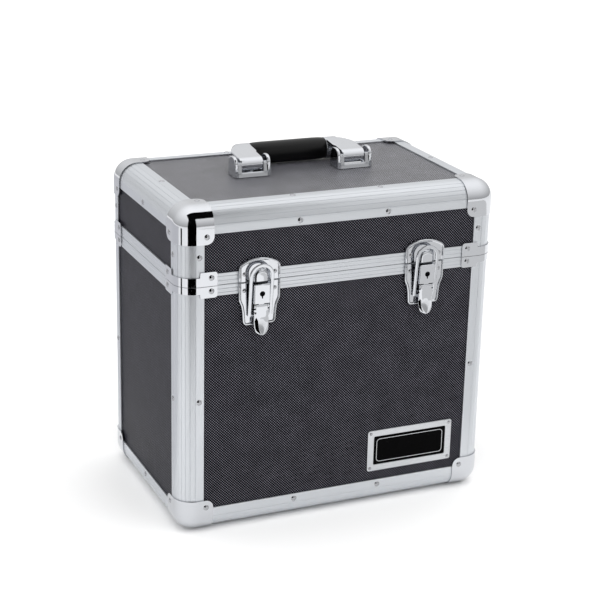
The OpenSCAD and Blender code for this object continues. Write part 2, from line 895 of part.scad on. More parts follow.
// Side view of a cheek, which carries an end of the ring
module cheek_profile() {
    front = pivot_out + barrel_r - 0.2;
    rear = hook_out - lever_t;
    translate([-front, hook_z - cheek_down]) square([front - rear, cheek_up + cheek_down]);
}

module latch_lever(side) {
    front = pivot_out + barrel_r;
    color(chrome) at_latch(side) difference() {
        union() {
            intersection() {
                along_x(2 * lever_half) lever_profile();
                latch_sheet(0, 3 * front) lever_front();
            }
            translate([0, -pivot_out, pivot_z]) bar_x(barrel_r, 2 * ear_in - 0.6);
            translate([-lip_half, -lip_in - lip_t, pivot_z]) cube([2 * lip_half, lip_t, lip_top - pivot_z]);
            for (s = [-1, 1]) translate([s * (lever_half - lever_t / 2), 0, 0])
                along_x(lever_t) cheek_profile();
        }
        translate([0, -pivot_out, pivot_z]) bar_x(lever_pin_r + running_fit, 3 * lever_half);
        translate([0, -hook_out, hook_z]) bar_x(ring_t / 2 + running_fit, 3 * lever_half);
    }
}

module latch_pin(side) {
    color(chrome) at_latch(side) translate([0, -pivot_out, pivot_z]) bar_x(lever_pin_r, 2 * ear_out);
}

// The draw ring: a flat arch with its two ends turned in to pivot in the lever
module latch_ring(side) {
    color(chrome) at_latch(side) translate([0, -hook_out, hook_z]) rotate([ring_lean, 0, 0]) {
        translate([0, ring_t / 2, 0]) rotate([90, 0, 0]) linear_extrude(ring_t) difference() {
            union() {
                translate([0, ring_leg]) circle(ring_out);
                translate([-ring_out, -ring_t / 2]) square([2 * ring_out, ring_leg + ring_t / 2]);
            }
            translate([0, ring_leg]) circle(ring_in);
            translate([-ring_in, -ring_t]) square([2 * ring_in, ring_leg + ring_t]);
        }
        for (s = [-1, 1]) translate([s * (ring_in + 1 + lever_half - lever_t) / 2, 0, 0])
            bar_x(ring_t / 2, ring_in + 1 - lever_half + lever_t);
    }
}

// The lock's rotor: a disc behind the keyhole, on a post, with a cam that points up when unlocked
module lock_rotor(side) {
    back = plate_out + 0.3;
    disc_back = housing_out - wall_t - 2;
    color(dark) at_latch(side) translate([0, 0, lock_z]) difference() {
        union() {
            translate([0, -disc_back, 0]) rotate([90, 0, 0]) cylinder(r = 4.6, h = 1.6);
            translate([0, -back, 0]) rotate([90, 0, 0]) cylinder(r = 3, h = disc_back - back + eps);
            translate([-cam_half, 0.3 - lip_in, 0]) cube([2 * cam_half, 1.2, cam_reach]);
        }
        translate([0, 1, 0]) rotate([90, 0, 0]) cylinder(r = 1.2 + running_fit, h = housing_out + 1);
        translate([-0.6, -housing_out, -3.4]) cube([1.2, 2.4, 3.4]);
    }
}

// ---- handle ----

// Side view of a handle bracket: sides that lean in a little below rounded shoulders
module bracket_side() {
    shoulder = 8;
    foot = -panel_face + panel_fit / 2;
    shoulder_z = bracket_h - shoulder;
    top_half = bracket_deep - 1.4;
    polygon([
        [-bracket_deep, foot], [bracket_deep, foot], [top_half - 0.1, shoulder_z + 1],
        [0.1 - top_half, shoulder_z + 1]
    ]);
    translate([shoulder - top_half, foot]) square([2 * (top_half - shoulder), bracket_h - foot]);
    for (s = [-1, 1]) translate([s * (top_half - shoulder), shoulder_z]) circle(shoulder);
}

// A bracket has two cheeks, a floor and a front wall with a window; the arm swings between the cheeks
module handle_bracket(side) {
    inner = bracket_w - 2 * cheek_t;
    floor_t = 2.2 + panel_face;
    wall = 2;
    color(chrome) translate([side * bracket_x, 0, top_z]) difference() {
        along_x(bracket_w) bracket_side();
        translate([-inner / 2, wall - bracket_deep, floor_t - panel_face])
            cube([inner, 2 * bracket_deep, bracket_h]);
        translate([-12.2, -bracket_deep - 1, 4]) cube([24.4, wall + 2, 10.4]);
        translate([0, 0, pivot_h]) bar_x(handle_pin_r + running_fit, bracket_w + 2);
        for (y = [-1, 1]) translate([0, y * (bracket_deep - 4.5), -panel_face - 1])
            cylinder(r = screw_r + running_fit, h = 6);
    }
}

module handle_pin(side) {
    color(chrome) translate([side * bracket_x, 0, top_z + pivot_h]) bar_x(handle_pin_r, bracket_w);
}

// An arm: a roll round the pin, a strap that leaves its top, and a cup that holds the end of the grip
module handle_arm(side) {
    strap_l = arm_l - 3;
    inner = bracket_x - arm_half;
    outer = bracket_x + arm_half;
    color(chrome) translate([0, 0, top_z]) mirror([side < 0 ? 1 : 0, 0, 0]) difference() {
        union() {
            translate([0, 0, strap_top - arm_t]) rotate([arm_lift, 0, 0])
                linear_extrude(arm_t) polygon([
                    [inner, 0], [outer, 0], [outer, 22], [outer - 3, 28],
                    [outer - 11, strap_l], [grip_half + 1, strap_l], [grip_half + 1, 18], [inner, 14]
                ]);
            translate([bracket_x, 0, pivot_h]) bar_x(arm_roll_r, 2 * arm_half);
            grip_cup();
        }
        translate([bracket_x, 0, pivot_h]) bar_x(handle_pin_r + running_fit, bracket_w);
    }
}

module grip_cup() {
    round_end = 7;
    cup_r = grip_r - 0.4;
    translate([grip_half + 0.2, arm_l, pivot_h]) rotate([0, 90, 0]) rotate_extrude() {
        square([cup_r, cap_len - round_end]);
        square([cup_r - round_end, cap_len]);
        translate([cup_r - round_end, cap_len - round_end]) intersection() {
            circle(round_end);
            square(round_end);
        }
    }
}

// The grip: a round moulding, slightly waisted at its ends
module handle_grip() {
    end_l = 4;
    color(dark) translate([-grip_half, arm_l, top_z + pivot_h]) rotate([0, 90, 0]) rotate_extrude()
        polygon([
            [0, 0], [grip_r - 1, 0], [grip_r, end_l], [grip_r, 2 * grip_half - end_l],
            [grip_r - 1, 2 * grip_half], [0, 2 * grip_half]
        ]);
}

module handle_screws() {
    head_h = flange_t - 0.1;
    color(chrome) for (side = [-1, 1]) screw_places(side) {
        translate([0, 0, top_z - panel_back]) cylinder(r = screw_r, h = panel_back + 1.8);
        translate([0, 0, top_z - panel_back - head_h]) cylinder(r = 4, h = head_h);
    }
}

// ---- nameplate ----

module plate_block(w, h, back, front) {
    translate([plate_x - w / 2, -half_d + panel_face - front, plate_z - h / 2])
        cube([w, front - back, h]);
}

module nameplate_frame() {
    color(profile_grey) difference() {
        plate_block(plate_w, plate_h, 0.1, 1.6);
        plate_block(plate_w - 2 * plate_border, plate_h - 2 * plate_border_z, -1, 3);
        nameplate_places() translate([0, 0, -1]) cylinder(r = shank_r + hole_fit, h = 4);
    }
}

module nameplate_insert() {
    color(dark) plate_block(plate_w - 2 * plate_border - 0.4, plate_h - 2 * plate_border_z - 0.4, 0.1, 1.1);
}

module nameplate_rivets() {
    color(chrome) nameplate_places() translate([0, 0, 1.6]) dome_rivet(1.9, 0.9, shank_l);
}

// ---- hinges ----

// Rear view outline of a leaf, from the pin outwards
module hinge_leaf(height, up, first) {
    pitch = hinge_w / knuckle_n;
    knuckle_l = pitch - knuckle_gap;
    difference() {
        union() {
            translate([-hinge_w / 2, sheet_fit, up > 0 ? leaf_start : -height])
                cube([hinge_w, leaf_t, height - leaf_start]);
            for (i = [first : 2 : knuckle_n - 1])
                translate([-hinge_w / 2 + (i + 0.5) * pitch, 0, 0]) {
                    translate([0, hinge_out, 0]) bar_x(knuckle_r, knuckle_l);
                    translate([-knuckle_l / 2, sheet_fit, up > 0 ? 0 : -leaf_start - 1])
                        cube([knuckle_l, leaf_t, leaf_start + 1]);
                    translate([-knuckle_l / 2, sheet_fit, up > 0 ? knuckle_gap : -knuckle_r])
                        cube([knuckle_l, hinge_out - sheet_fit, knuckle_r - knuckle_gap]);
                }
        }
        translate([0, hinge_out, 0]) bar_x(hinge_pin_r + 0.05, hinge_w + 2);
        leaf_rivet_places(height, up) translate([0, 0, -1])
            cylinder(r = shank_r + hole_fit, h = leaf_t + 3);
    }
}

module at_hinge(side) {
    translate([side * hinge_x, half_d, seam_z]) children();
}

module hinge_lid_leaf(side) {
    color(profile_grey) at_hinge(side) hinge_leaf(lid_leaf_h, 1, 1);
}

module hinge_body_leaf(side) {
    color(profile_grey) at_hinge(side) hinge_leaf(body_leaf_h, -1, 0);
}

module hinge_pin(side) {
    color(chrome) at_hinge(side) translate([0, hinge_out, 0]) bar_x(hinge_pin_r, hinge_w);
}

module hinge_body_rivets() {
    color(chrome) for (side = [-1, 1]) hinge_body_places(side)
        translate([0, 0, sheet_fit + leaf_t]) dome_rivet(small_rivet_r, rivet_h, shank_l);
}

module hinge_lid_rivets() {
    color(chrome) for (side = [-1, 1]) hinge_lid_places(side)
        translate([0, 0, sheet_fit + leaf_t]) dome_rivet(small_rivet_r, rivet_h, shank_l);
}

body_wall_x(0);  // body_front_panel
body_wall_x(1);  // body_back_panel
body_wall_y(0);  // body_left_panel
body_wall_y(1);  // body_right_panel
body_base_panel();
lid_wall_x(0);  // lid_front_panel
lid_wall_x(1);  // lid_back_panel
lid_wall_y(0);  // lid_left_panel
lid_wall_y(1);  // lid_right_panel
lid_top_panel();
body_corner_posts();
base_edge_profiles();
body_rim_profiles();
lid_corner_posts();
top_edge_profiles();
lid_rim_profiles();
base_corner_caps();
top_corner_caps();
body_seam_brackets();
lid_seam_brackets();
body_rivets();
lid_rivets();
floor_foam();
lid_foam();
latch_keeper(-1);  // left_latch_keeper
latch_base(-1);  // left_latch_base
latch_lever(-1);  // left_latch_lever
latch_ring(-1);  // left_latch_ring
latch_pin(-1);  // left_latch_pin
lock_rotor(-1);  // left_lock_rotor
latch_keeper(1);  // right_latch_keeper
latch_base(1);  // right_latch_base
latch_lever(1);  // right_latch_lever
latch_ring(1);  // right_latch_ring
latch_pin(1);  // right_latch_pin
lock_rotor(1);  // right_lock_rotor
keeper_rivets();
latch_base_rivets();
handle_grip();
handle_arm(-1);  // left_handle_arm
handle_bracket(-1);  // left_handle_bracket
handle_pin(-1);  // left_handle_pin
handle_arm(1);  // right_handle_arm
handle_bracket(1);  // right_handle_bracket
handle_pin(1);  // right_handle_pin
handle_screws();
nameplate_frame();
nameplate_insert();
nameplate_rivets();
hinge_body_leaf(-1);  // left_hinge_body_leaf
hinge_lid_leaf(-1);  // left_hinge_lid_leaf
hinge_pin(-1);  // left_hinge_pin
hinge_body_leaf(1);  // right_hinge_body_leaf
hinge_lid_leaf(1);  // right_hinge_lid_leaf
hinge_pin(1);  // right_hinge_pin
hinge_body_rivets();
hinge_lid_rivets();
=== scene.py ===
# %% [markdown]
# # A record carrying case
# The case is taken to be plywood faced with an embossed black laminate. It is held in rounded aluminium
# edge profiles, with plated corners, two draw latches and a folding handle. The solid model gives every
# place and joint. This script gives each visible piece its surface and finish around that model.

# %% Load the solid model
import math
import bmesh
import bpy
import numpy as np
from mathutils import Matrix, Vector
from mathutils.geometry import tessellate_polygon


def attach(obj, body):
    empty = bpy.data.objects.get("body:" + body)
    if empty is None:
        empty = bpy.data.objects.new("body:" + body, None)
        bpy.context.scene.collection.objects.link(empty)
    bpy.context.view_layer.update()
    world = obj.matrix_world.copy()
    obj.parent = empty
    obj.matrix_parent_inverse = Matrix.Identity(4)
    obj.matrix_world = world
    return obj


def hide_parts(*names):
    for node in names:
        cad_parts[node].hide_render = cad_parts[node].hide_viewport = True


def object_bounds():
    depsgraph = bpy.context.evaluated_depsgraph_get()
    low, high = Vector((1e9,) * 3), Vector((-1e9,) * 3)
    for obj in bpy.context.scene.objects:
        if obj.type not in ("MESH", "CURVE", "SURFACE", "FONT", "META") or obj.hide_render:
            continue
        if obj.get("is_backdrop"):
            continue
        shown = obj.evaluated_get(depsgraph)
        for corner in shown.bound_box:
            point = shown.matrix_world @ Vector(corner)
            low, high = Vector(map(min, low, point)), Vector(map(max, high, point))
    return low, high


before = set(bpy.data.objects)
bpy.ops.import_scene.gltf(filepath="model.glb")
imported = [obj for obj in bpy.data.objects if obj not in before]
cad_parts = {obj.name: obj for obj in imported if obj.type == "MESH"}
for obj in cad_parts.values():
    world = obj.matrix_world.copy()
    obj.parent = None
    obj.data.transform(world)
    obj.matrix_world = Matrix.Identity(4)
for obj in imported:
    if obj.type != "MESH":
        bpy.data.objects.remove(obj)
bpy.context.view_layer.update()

# %% [markdown]
# Sizes below are in millimetres, as a workshop drawing gives them, and one factor turns them into
# Blender's metres when a mesh is made. Heights on the hardware are counted from the seam or the top.

# %% Main sizes of the case
MM = 0.001
HALF_W, HALF_D = 180.0, 115.0        # half of the outside width and depth
BASE = 1.3                           # underside of the edge profiles
TOP = BASE + 355.0
SEAM = TOP - 80.5
SEAM_GAP = 0.4
LEG, ROUND, SKIN = 26.5, 20.0, 1.5   # profile leg, outer radius and skin
INNER, INNER_WALL = 8.3, 9.8         # inner angle of the profiles
WEB = 17.0                           # where a panel's edge stops
BUTT = 26.65                         # where lengths of profile start, from the corner
SHEET_FIT, SHEET = 0.1, 1.2
SHEET_OUT = SHEET_FIT + SHEET
PANEL = 1.8                          # depth of the laminate's face
SEAM_LOW, SEAM_HIGH = SEAM - SEAM_GAP / 2, SEAM + SEAM_GAP / 2
SIDES = ((-1, "left"), (1, "right"))
QUARTERS = [(i, j) for i in (-1, 1) for j in (-1, 1)]
print("case", 2 * HALF_W, "x", 2 * HALF_D, "x", TOP - BASE, "mm, seam at", SEAM)

# %% [markdown]
# A mesh is rows of points and rows of point numbers. Shapes are worked out as whole numpy arrays: a
# grid of points from two parameters, or a section carried along a path. One function then turns the
# arrays into an object that rides on its body and stands for the solids that it covers.

# %% Arrays into pieces
def grid_faces(rows, columns, wrap_rows=False, wrap_columns=False, start=0):
    """Quads of a rows x columns grid of points numbered row by row; a wrapped side joins its two ends."""
    r = np.arange(rows if wrap_rows else rows - 1)[:, None]
    c = np.arange(columns if wrap_columns else columns - 1)[None, :]
    r1, c1 = (r + 1) % rows, (c + 1) % columns
    quads = np.stack([r * columns + c, r * columns + c1, r1 * columns + c1, r1 * columns + c], -1)
    return quads.reshape(-1, 4) + start


class Shape:
    """Points and faces gathered from several surfaces, in millimetres."""

    def __init__(self):
        self.points, self.faces, self.count = [], [], 0

    def add(self, points, faces):
        points = np.asarray(points, float).reshape(-1, 3)
        self.points.append(points)
        self.faces += [[int(i) + self.count for i in face] for face in faces]
        self.count += len(points)
        return self

    def placed(self, matrix, flip=False):
        """A copy moved by a 4x4 matrix in millimetres; flip turns the faces round, as a mirror needs."""
        points = np.concatenate(self.points)
        moved = points @ np.array(matrix)[:3, :3].T + np.array(matrix)[:3, 3]
        faces = [face[::-1] for face in self.faces] if flip else self.faces
        return moved, faces


def mirrored(axes):
    """4x4 matrix that mirrors the axes named in the text, such as "xy"."""
    return np.diag([-1.0 if "x" in axes else 1.0, -1.0 if "y" in axes else 1.0,
                    -1.0 if "z" in axes else 1.0, 1.0])


def moved(x=0.0, y=0.0, z=0.0):
    matrix = np.eye(4)
    matrix[:3, 3] = x, y, z
    return matrix


def lift(z, turned):
    """Raises a shape to height z, upside down where 'turned' is set."""
    return moved(z=z) @ mirrored("z") if turned else moved(z=z)


def full_turn(count):
    return np.linspace(0, 2 * math.pi, count + 1)[:-1]


def crease_rims(mesh):
    """Marks each edge that a single face uses as sharp, so that a wall's rim shades apart from its sides."""
    edges = np.empty(len(mesh.loops), np.int32)
    mesh.loops.foreach_get("edge_index", edges)
    sharp = mesh.attributes.get("sharp_edge") or mesh.attributes.new("sharp_edge", "BOOLEAN", "EDGE")
    flags = np.empty(len(mesh.edges), bool)
    sharp.data.foreach_get("value", flags)
    sharp.data.foreach_set("value", flags | (np.bincount(edges, minlength=len(flags)) == 1))


def make_piece(name, shape, body, finish, slot, stands_for=(), sharp=35.0, bevel=0.0, wall=0.0):
    """Makes the object from a Shape: smooth shading with creases past 'sharp' degrees, then an optional
    wall thickness inwards and an optional rounding of its edges, both in millimetres."""
    points = np.concatenate(shape.points) * MM
    mesh = bpy.data.meshes.new(name)
    mesh.from_pydata(points.tolist(), [], shape.faces)
    mesh.validate()
    mesh.shade_smooth()
    mesh.set_sharp_from_angle(angle=math.radians(sharp))
    piece = bpy.data.objects.new(name, mesh)
    bpy.context.scene.collection.objects.link(piece)
    mesh.materials.append(finish)
    if wall:
        solid = piece.modifiers.new("wall", "SOLIDIFY")
        solid.thickness, solid.offset, solid.use_quality_normals = wall * MM, -1.0, True
    if bevel:
        rounding = piece.modifiers.new("rounding", "BEVEL")
        rounding.width, rounding.segments = bevel * MM, 2
        rounding.limit_method, rounding.angle_limit = "ANGLE", math.radians(sharp)
        rounding.use_clamp_overlap, rounding.harden_normals = True, True
    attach(piece, body)
    if stands_for:
        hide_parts(*stands_for)
    return piece


print("shape helpers ready")

# %% [markdown]
# Every finish is a small node tree. The colours are written as the sRGB values that the eye picks off
# a swatch, and Blender wants linear light, so one function converts them. One more function adds a
# node with its settings and links, which keeps each recipe short enough to read.

# %% Colours and nodes
def linear(code):
    """Linear RGBA of an sRGB hex colour: below 0.04045 divide by 12.92, above raise to the power 2.4."""
    values = [int(code[i:i + 2], 16) / 255 for i in (1, 3, 5)]
    return [v / 12.92 if v <= 0.04045 else ((v + 0.055) / 1.055) ** 2.4 for v in values] + [1.0]


def add_node(tree, kind, settings=None, **inputs):
    """Adds a node. 'settings' are its properties, and each input is a value or the socket linked to it."""
    node = tree.nodes.new(kind)
    for key, value in (settings or {}).items():
        setattr(node, key, value)
    for key, value in inputs.items():
        socket = node.inputs[int(key[1:]) if key[1:].isdigit() else key.replace("_", " ")]
        if isinstance(value, bpy.types.NodeSocket):
            tree.links.new(value, socket)
        else:
            socket.default_value = value
    return node


def new_finish(name, colour, metallic=0.0, roughness=0.5, **more):
    """A material with one Principled shader whose constant values sit on its own sockets."""
    material = bpy.data.materials.new(name)
    material.use_nodes = True
    tree = material.node_tree
    tree.nodes.clear()
    shader = add_node(tree, "ShaderNodeBsdfPrincipled", Base_Color=linear(colour), Metallic=metallic,
                      Roughness=roughness, **more)
    output = add_node(tree, "ShaderNodeOutputMaterial")
    tree.links.new(shader.outputs["BSDF"], output.inputs["Surface"])
    place = add_node(tree, "ShaderNodeTexCoord").outputs["Object"]
    return material, tree, shader, place


def vary_roughness(tree, shader, source, **ends):
    spread = add_node(tree, "ShaderNodeMapRange", Value=source, **ends)
    tree.links.new(spread.outputs[0], shader.inputs["Roughness"])


def emboss(tree, shader, height, strength, lift_mm):
    bump = add_node(tree, "ShaderNodeBump", Strength=strength, Distance=lift_mm * MM, Height=height)
    tree.links.new(bump.outputs["Normal"], shader.inputs["Normal"])


def mix_colours(tree, shader, amount, first, second):
    tint = add_node(tree, "ShaderNodeMix", {"data_type": "RGBA"}, _0=amount,
                    _6=linear(first), _7=linear(second))
    tree.links.new(tint.outputs[2], shader.inputs["Base Color"])


print("finish helpers ready")

# %% [markdown]
# The panels are plywood faced with a black high-pressure laminate, pressed against a patterned plate so
# that small dots stand up from it. The photo's front gives a 3 mm grid with one more dot in the middle
# of each square. Two cosines multiplied make just that lattice. The dots' tops are painted paler than
# the ground: a painted glint for the light they catch. One recipe takes the two axes that lie in the
# panel's face. It is one laminate, but its colours and gloss are set for each direction, to give the
# tones of the photo under this light: lit and shaded copies, whose ground colours are painted shade.

# %% Embossed laminate
DOT_PITCH = 3.0                      # millimetres between dots along each axis
DOT_HEIGHT = 0.22


# The 'dot' colour is a painted glint, and 'ground' carries each direction's painted shade.
def embossed_laminate(name, first, second, ground, dot, gloss):
    material, tree, shader, place = new_finish(name, ground, roughness=0.36, Specular_IOR_Level=gloss)
    axes = add_node(tree, "ShaderNodeSeparateXYZ", Vector=place)
    waves = []
    for axis in (first, second):
        turn = add_node(tree, "ShaderNodeMath", {"operation": "MULTIPLY"}, _0=axes.outputs[axis],
                        _1=2 * math.pi / (DOT_PITCH * MM))
        waves.append(add_node(tree, "ShaderNodeMath", {"operation": "COSINE"}, _0=turn.outputs[0]))
    lattice = add_node(tree, "ShaderNodeMath", {"operation": "MULTIPLY"},
                       _0=waves[0].outputs[0], _1=waves[1].outputs[0])
    dots = add_node(tree, "ShaderNodeMapRange", {"interpolation_type": "SMOOTHSTEP"},
                    Value=lattice.outputs[0], From_Min=0.24, From_Max=0.68)
    # Painted glint varied at random: this noise sets how much of the paler dot colour each dot shows, and
    # its gloss with it.
    glint_noise = add_node(tree, "ShaderNodeTexNoise", Vector=place, Scale=45.0, Detail=3.0, Roughness=0.6)
    glint_noise_range = add_node(tree, "ShaderNodeMapRange", Value=glint_noise.outputs["Fac"], From_Min=0.35,
                          From_Max=0.7, To_Min=0.7, To_Max=1.0)
    amount = add_node(tree, "ShaderNodeMath", {"operation": "MULTIPLY"}, _0=dots.outputs[0],
                      _1=glint_noise_range.outputs[0])
    # Painted glint: the dots take the paler dot colour over the dark ground, for the light they catch.
    mix_colours(tree, shader, amount.outputs[0], ground, dot)
    vary_roughness(tree, shader, amount.outputs[0], To_Min=0.4, To_Max=0.3)
    emboss(tree, shader, dots.outputs[0], 0.5, DOT_HEIGHT)
    return material


# Lit and shaded copies of one laminate: each direction's ground colour is painted shade and its dot colour a
# painted glint, set for this light.
laminate_lit_for_front = embossed_laminate("embossed_laminate_front", "X", "Z", "#040406", "#82818c", 0.03)
laminate_lit_for_side = embossed_laminate("embossed_laminate_side", "Y", "Z", "#121217", "#5a5965", 0.06)
laminate_lit_for_level = embossed_laminate("embossed_laminate_level", "X", "Y", "#0c0c10", "#bebec8", 0.56)
print("laminate: dots every", DOT_PITCH, "mm and between")

# %% [markdown]
# The edge profiles are extruded aluminium, anodised in its natural colour. The die leaves very fine
# lines along the length, so the finish is a noise squeezed hard across the length and stretched along
# it. It roughens the metal in streaks and lifts the surface by a few hundredths of a millimetre.

# %% Anodised aluminium, by direction
def streaked_metal(name, colour, along, roughness, spread, line_mm, lift_mm):
    """Metal with fine lines along one axis: noise whose cells are line_mm wide and 60 times as long."""
    material, tree, shader, place = new_finish(name, colour, metallic=1.0, roughness=roughness)
    across = 1.0 / (line_mm * MM)
    squeeze = [across, across, across]
    squeeze["XYZ".index(along)] = across / 60.0
    lines = add_node(tree, "ShaderNodeMapping", Vector=place, Scale=squeeze)
    noise = add_node(tree, "ShaderNodeTexNoise", Vector=lines.outputs[0], Scale=1.0, Detail=2.0)
    vary_roughness(tree, shader, noise.outputs["Fac"], From_Min=0.3, From_Max=0.7,
                   To_Min=roughness - spread, To_Max=roughness + spread)
    emboss(tree, shader, noise.outputs["Fac"], 0.35, lift_mm)
    return material


anodised = {axis: streaked_metal("anodised_aluminium_" + axis.lower(), "#ced1d5", axis, 0.42, 0.04, 0.7,
                                 0.004) for axis in "XYZ"}
brushed_plate = streaked_metal("brushed_nameplate_metal", "#c4c6c9", "X", 0.3, 0.06, 0.35, 0.006)
print("anodised aluminium along", ", ".join(anodised))

# %% [markdown]
# Corners, brackets, latches and handle castings are steel or zinc with bright nickel and chrome plating.
# Plating is nearly a mirror. It takes the steel's slight waviness and a few dull fingermarks, and both
# keep the reflections from looking computed.

# %% Plated metals
def plated(name, colour, roughness, dull, wave_mm, wave_height_mm):
    """Mirror-like plating: a slow noise dulls it in places and a long wave bends its reflections."""
    material, tree, shader, place = new_finish(name, colour, metallic=1.0, roughness=roughness)
    marks = add_node(tree, "ShaderNodeTexNoise", Vector=place, Scale=90.0, Detail=4.0, Roughness=0.65)
    vary_roughness(tree, shader, marks.outputs["Fac"], From_Min=0.45, From_Max=0.8,
                   To_Min=roughness, To_Max=dull)
    wave = add_node(tree, "ShaderNodeTexNoise", Vector=place, Scale=1.0 / (wave_mm * MM), Detail=1.0)
    emboss(tree, shader, wave.outputs["Fac"], 0.25, wave_height_mm)
    return material


bright_plating = plated("bright_chrome_plating", "#c9cbcf", 0.06, 0.12, 14.0, 0.015)
rivet_plating = plated("nickel_plated_rivet_steel", "#a9aaad", 0.1, 0.16, 3.0, 0.02)
hinge_plating = plated("zinc_plated_hinge_steel", "#b9bcc1", 0.26, 0.42, 6.0, 0.08)
lock_steel = plated("blackened_lock_steel", "#1b1b1e", 0.38, 0.55, 2.0, 0.04)
print("plated metals ready")

# %% [markdown]
# The grip is moulded PVC with a fine satin grain, and the nameplate's insert is glossy black ABS, left
# bare. The linings are closed-cell foam: matt, almost black, with cells that can just be seen.

# %% Plastics and foam
def grained(name, colour, second, roughness, grain_mm, depth_mm, strength, gloss=0.5):
    """A moulded or foamed skin: noise of the grain's size mixes two close colours and lifts the surface."""
    material, tree, shader, place = new_finish(name, colour, roughness=roughness, Specular_IOR_Level=gloss)
    grain = add_node(tree, "ShaderNodeTexNoise", Vector=place, Scale=1.0 / (grain_mm * MM), Detail=3.0)
    mix_colours(tree, shader, grain.outputs["Fac"], colour, second)
    emboss(tree, shader, grain.outputs["Fac"], strength, depth_mm)
    return material


grip_plastic = grained("moulded_pvc_grip", "#030303", "#070708", 0.3, 1.2, 0.02, 0.4, gloss=0.22)
insert_plastic = grained("gloss_black_abs", "#030303", "#060607", 0.16, 8.0, 0.01, 0.15, gloss=0.02)
foam_skin = grained("closed_cell_foam", "#1d1d20", "#38383d", 0.92, 1.6, 0.5, 0.8)
print("plastics and foam ready")

# %% [markdown]
# The panels are flat boards whose shape is already right in the solid model, so they keep their solids
# and only take the laminate. Each one gets the recipe whose two axes lie in its face, with that
# direction's painted shade and painted glint.

# %% Panels
PANELS = {
    laminate_lit_for_front: ("body_front_panel", "body_back_panel", "lid_front_panel", "lid_back_panel"),
    laminate_lit_for_side: ("body_left_panel", "body_right_panel", "lid_left_panel", "lid_right_panel"),
    laminate_lit_for_level: ("body_base_panel", "lid_top_panel"),
}


def dress(finish, *nodes):
    for node in nodes:
        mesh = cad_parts[node].data
        mesh.materials.clear()
        mesh.materials.append(finish)


for finish, nodes in PANELS.items():
    dress(finish, *nodes)
print("panels dressed:", sum(len(nodes) for nodes in PANELS.values()))

# %% [markdown]
# The upright posts and the long edges are one extrusion. Its section is a rounded skin with fine lines
# drawn by the die, an inner angle, and two webs that stop the panels. Working out the section once as
# a closed loop, and carrying it along straight paths, gives every length of profile.

# %% The edge profile's section
LINE_PLACES = (3.0, 8.5, 13.5, 18.0, 22.5, 28.0)     # grooves, along the round from one end, in mm
LINE_DEPTH, LINE_WIDTH = 0.28, 0.55


def line_depth(distance, places=LINE_PLACES):
    """Depth of the die's lines: each is a V, 1 minus the distance from its middle over its half width."""
    gap = np.abs(np.asarray(distance)[:, None] - np.asarray(places)[None, :]).min(1)
    return LINE_DEPTH * np.clip(1 - gap / (LINE_WIDTH / 2), 0, 1)


def edge_section():
    """Closed loop of the section, outer corner at the origin. The round is a quarter circle about
    (R, R) whose radius loses the line depth; the rest are the straight walls of the inner angle."""
    length = ROUND * math.pi / 2
    marks = np.concatenate([[p - LINE_WIDTH / 2, p, p + LINE_WIDTH / 2] for p in LINE_PLACES])
    arc = np.unique(np.concatenate([np.linspace(0, length, 33), marks]))
    angle = arc / ROUND
    radius = ROUND - line_depth(arc)
    round_part = np.stack([ROUND - radius * np.sin(angle), ROUND - radius * np.cos(angle)], 1)
    inside = [(SKIN, LEG), (SKIN, WEB), (INNER, WEB), (INNER, LEG), (INNER_WALL, LEG),
              (INNER_WALL, INNER_WALL), (LEG, INNER_WALL), (LEG, INNER), (WEB, INNER), (WEB, SKIN),
              (LEG, SKIN)]
    ends = [(0.0, LEG - 0.3), (0.3, LEG)]
    start = [(LEG, 0.3), (LEG - 0.3, 0.0)]
    return np.array(start + round_part.tolist() + ends + inside)


def prism(shape, loop, start, end, order):
    """Carries a loop along one axis from start to end. 'order' says which axes the loop's two numbers
    and the length go to, such as "xyz"; the two ends are closed with one face each."""
    columns = ["xyz".index(a) for a in order]
    ring = np.zeros((2, len(loop), 3))
    ring[:, :, columns[0]], ring[:, :, columns[1]] = loop[:, 0], loop[:, 1]
    ring[0, :, columns[2]], ring[1, :, columns[2]] = start, end
    n = len(loop)
    faces = grid_faces(2, n, wrap_columns=True).tolist()
    faces += [list(range(n))[::-1], list(range(n, 2 * n))]
    area = np.sum(loop[:, 0] * np.roll(loop[:, 1], -1) - loop[:, 1] * np.roll(loop[:, 0], -1))
    even = order in ("xyz", "yzx", "zxy")
    if (area > 0) != (even == (end > start)):
        faces = [face[::-1] for face in faces]
    return shape.add(ring, faces)


profile = edge_section()
print("edge section has", len(profile), "points")

# %% [markdown]
# Posts stand at the four upright edges, cut at the seam into a body part and a lid part. Their full
# section ends where a corner's ball begins, and only the inner angle runs on behind the cap.

# %% Upright posts
def post_shape(seam_side, far_end, direction):
    shape = Shape()
    full_end = far_end - direction * ROUND
    prism(shape, profile, seam_side, full_end, "xyz")
    angle = np.array([(INNER, LEG), (INNER, INNER), (LEG, INNER), (LEG, INNER_WALL),
                      (INNER_WALL, INNER_WALL), (INNER_WALL, LEG)])
    prism(shape, angle, full_end, far_end - direction * INNER_WALL, "xyz")
    return shape


def at_each_edge(one):
    """Copies a shape drawn at the left front edge to all four upright edges."""
    shape = Shape()
    for axes in ("", "x", "y", "xy"):
        matrix = mirrored(axes) @ moved(-HALF_W, -HALF_D)
        shape.add(*one.placed(matrix, flip=len(axes) == 1))
    return shape


posts = {
    "body_corner_posts": ("body", post_shape(SEAM_LOW, BASE, -1)),
    "lid_corner_posts": ("lid", post_shape(SEAM_HIGH, TOP, 1)),
}
for node, (body, one) in posts.items():
    make_piece(node + "_drawn", at_each_edge(one), body, anodised["Z"], "profile", (node,), sharp=28)
print("posts made:", ", ".join(posts))

# %% [markdown]
# The level edges at the base and the top are the same extrusion, two along the width and two along the
# depth. The lines and the brushed finish follow each length, so each direction is its own piece.

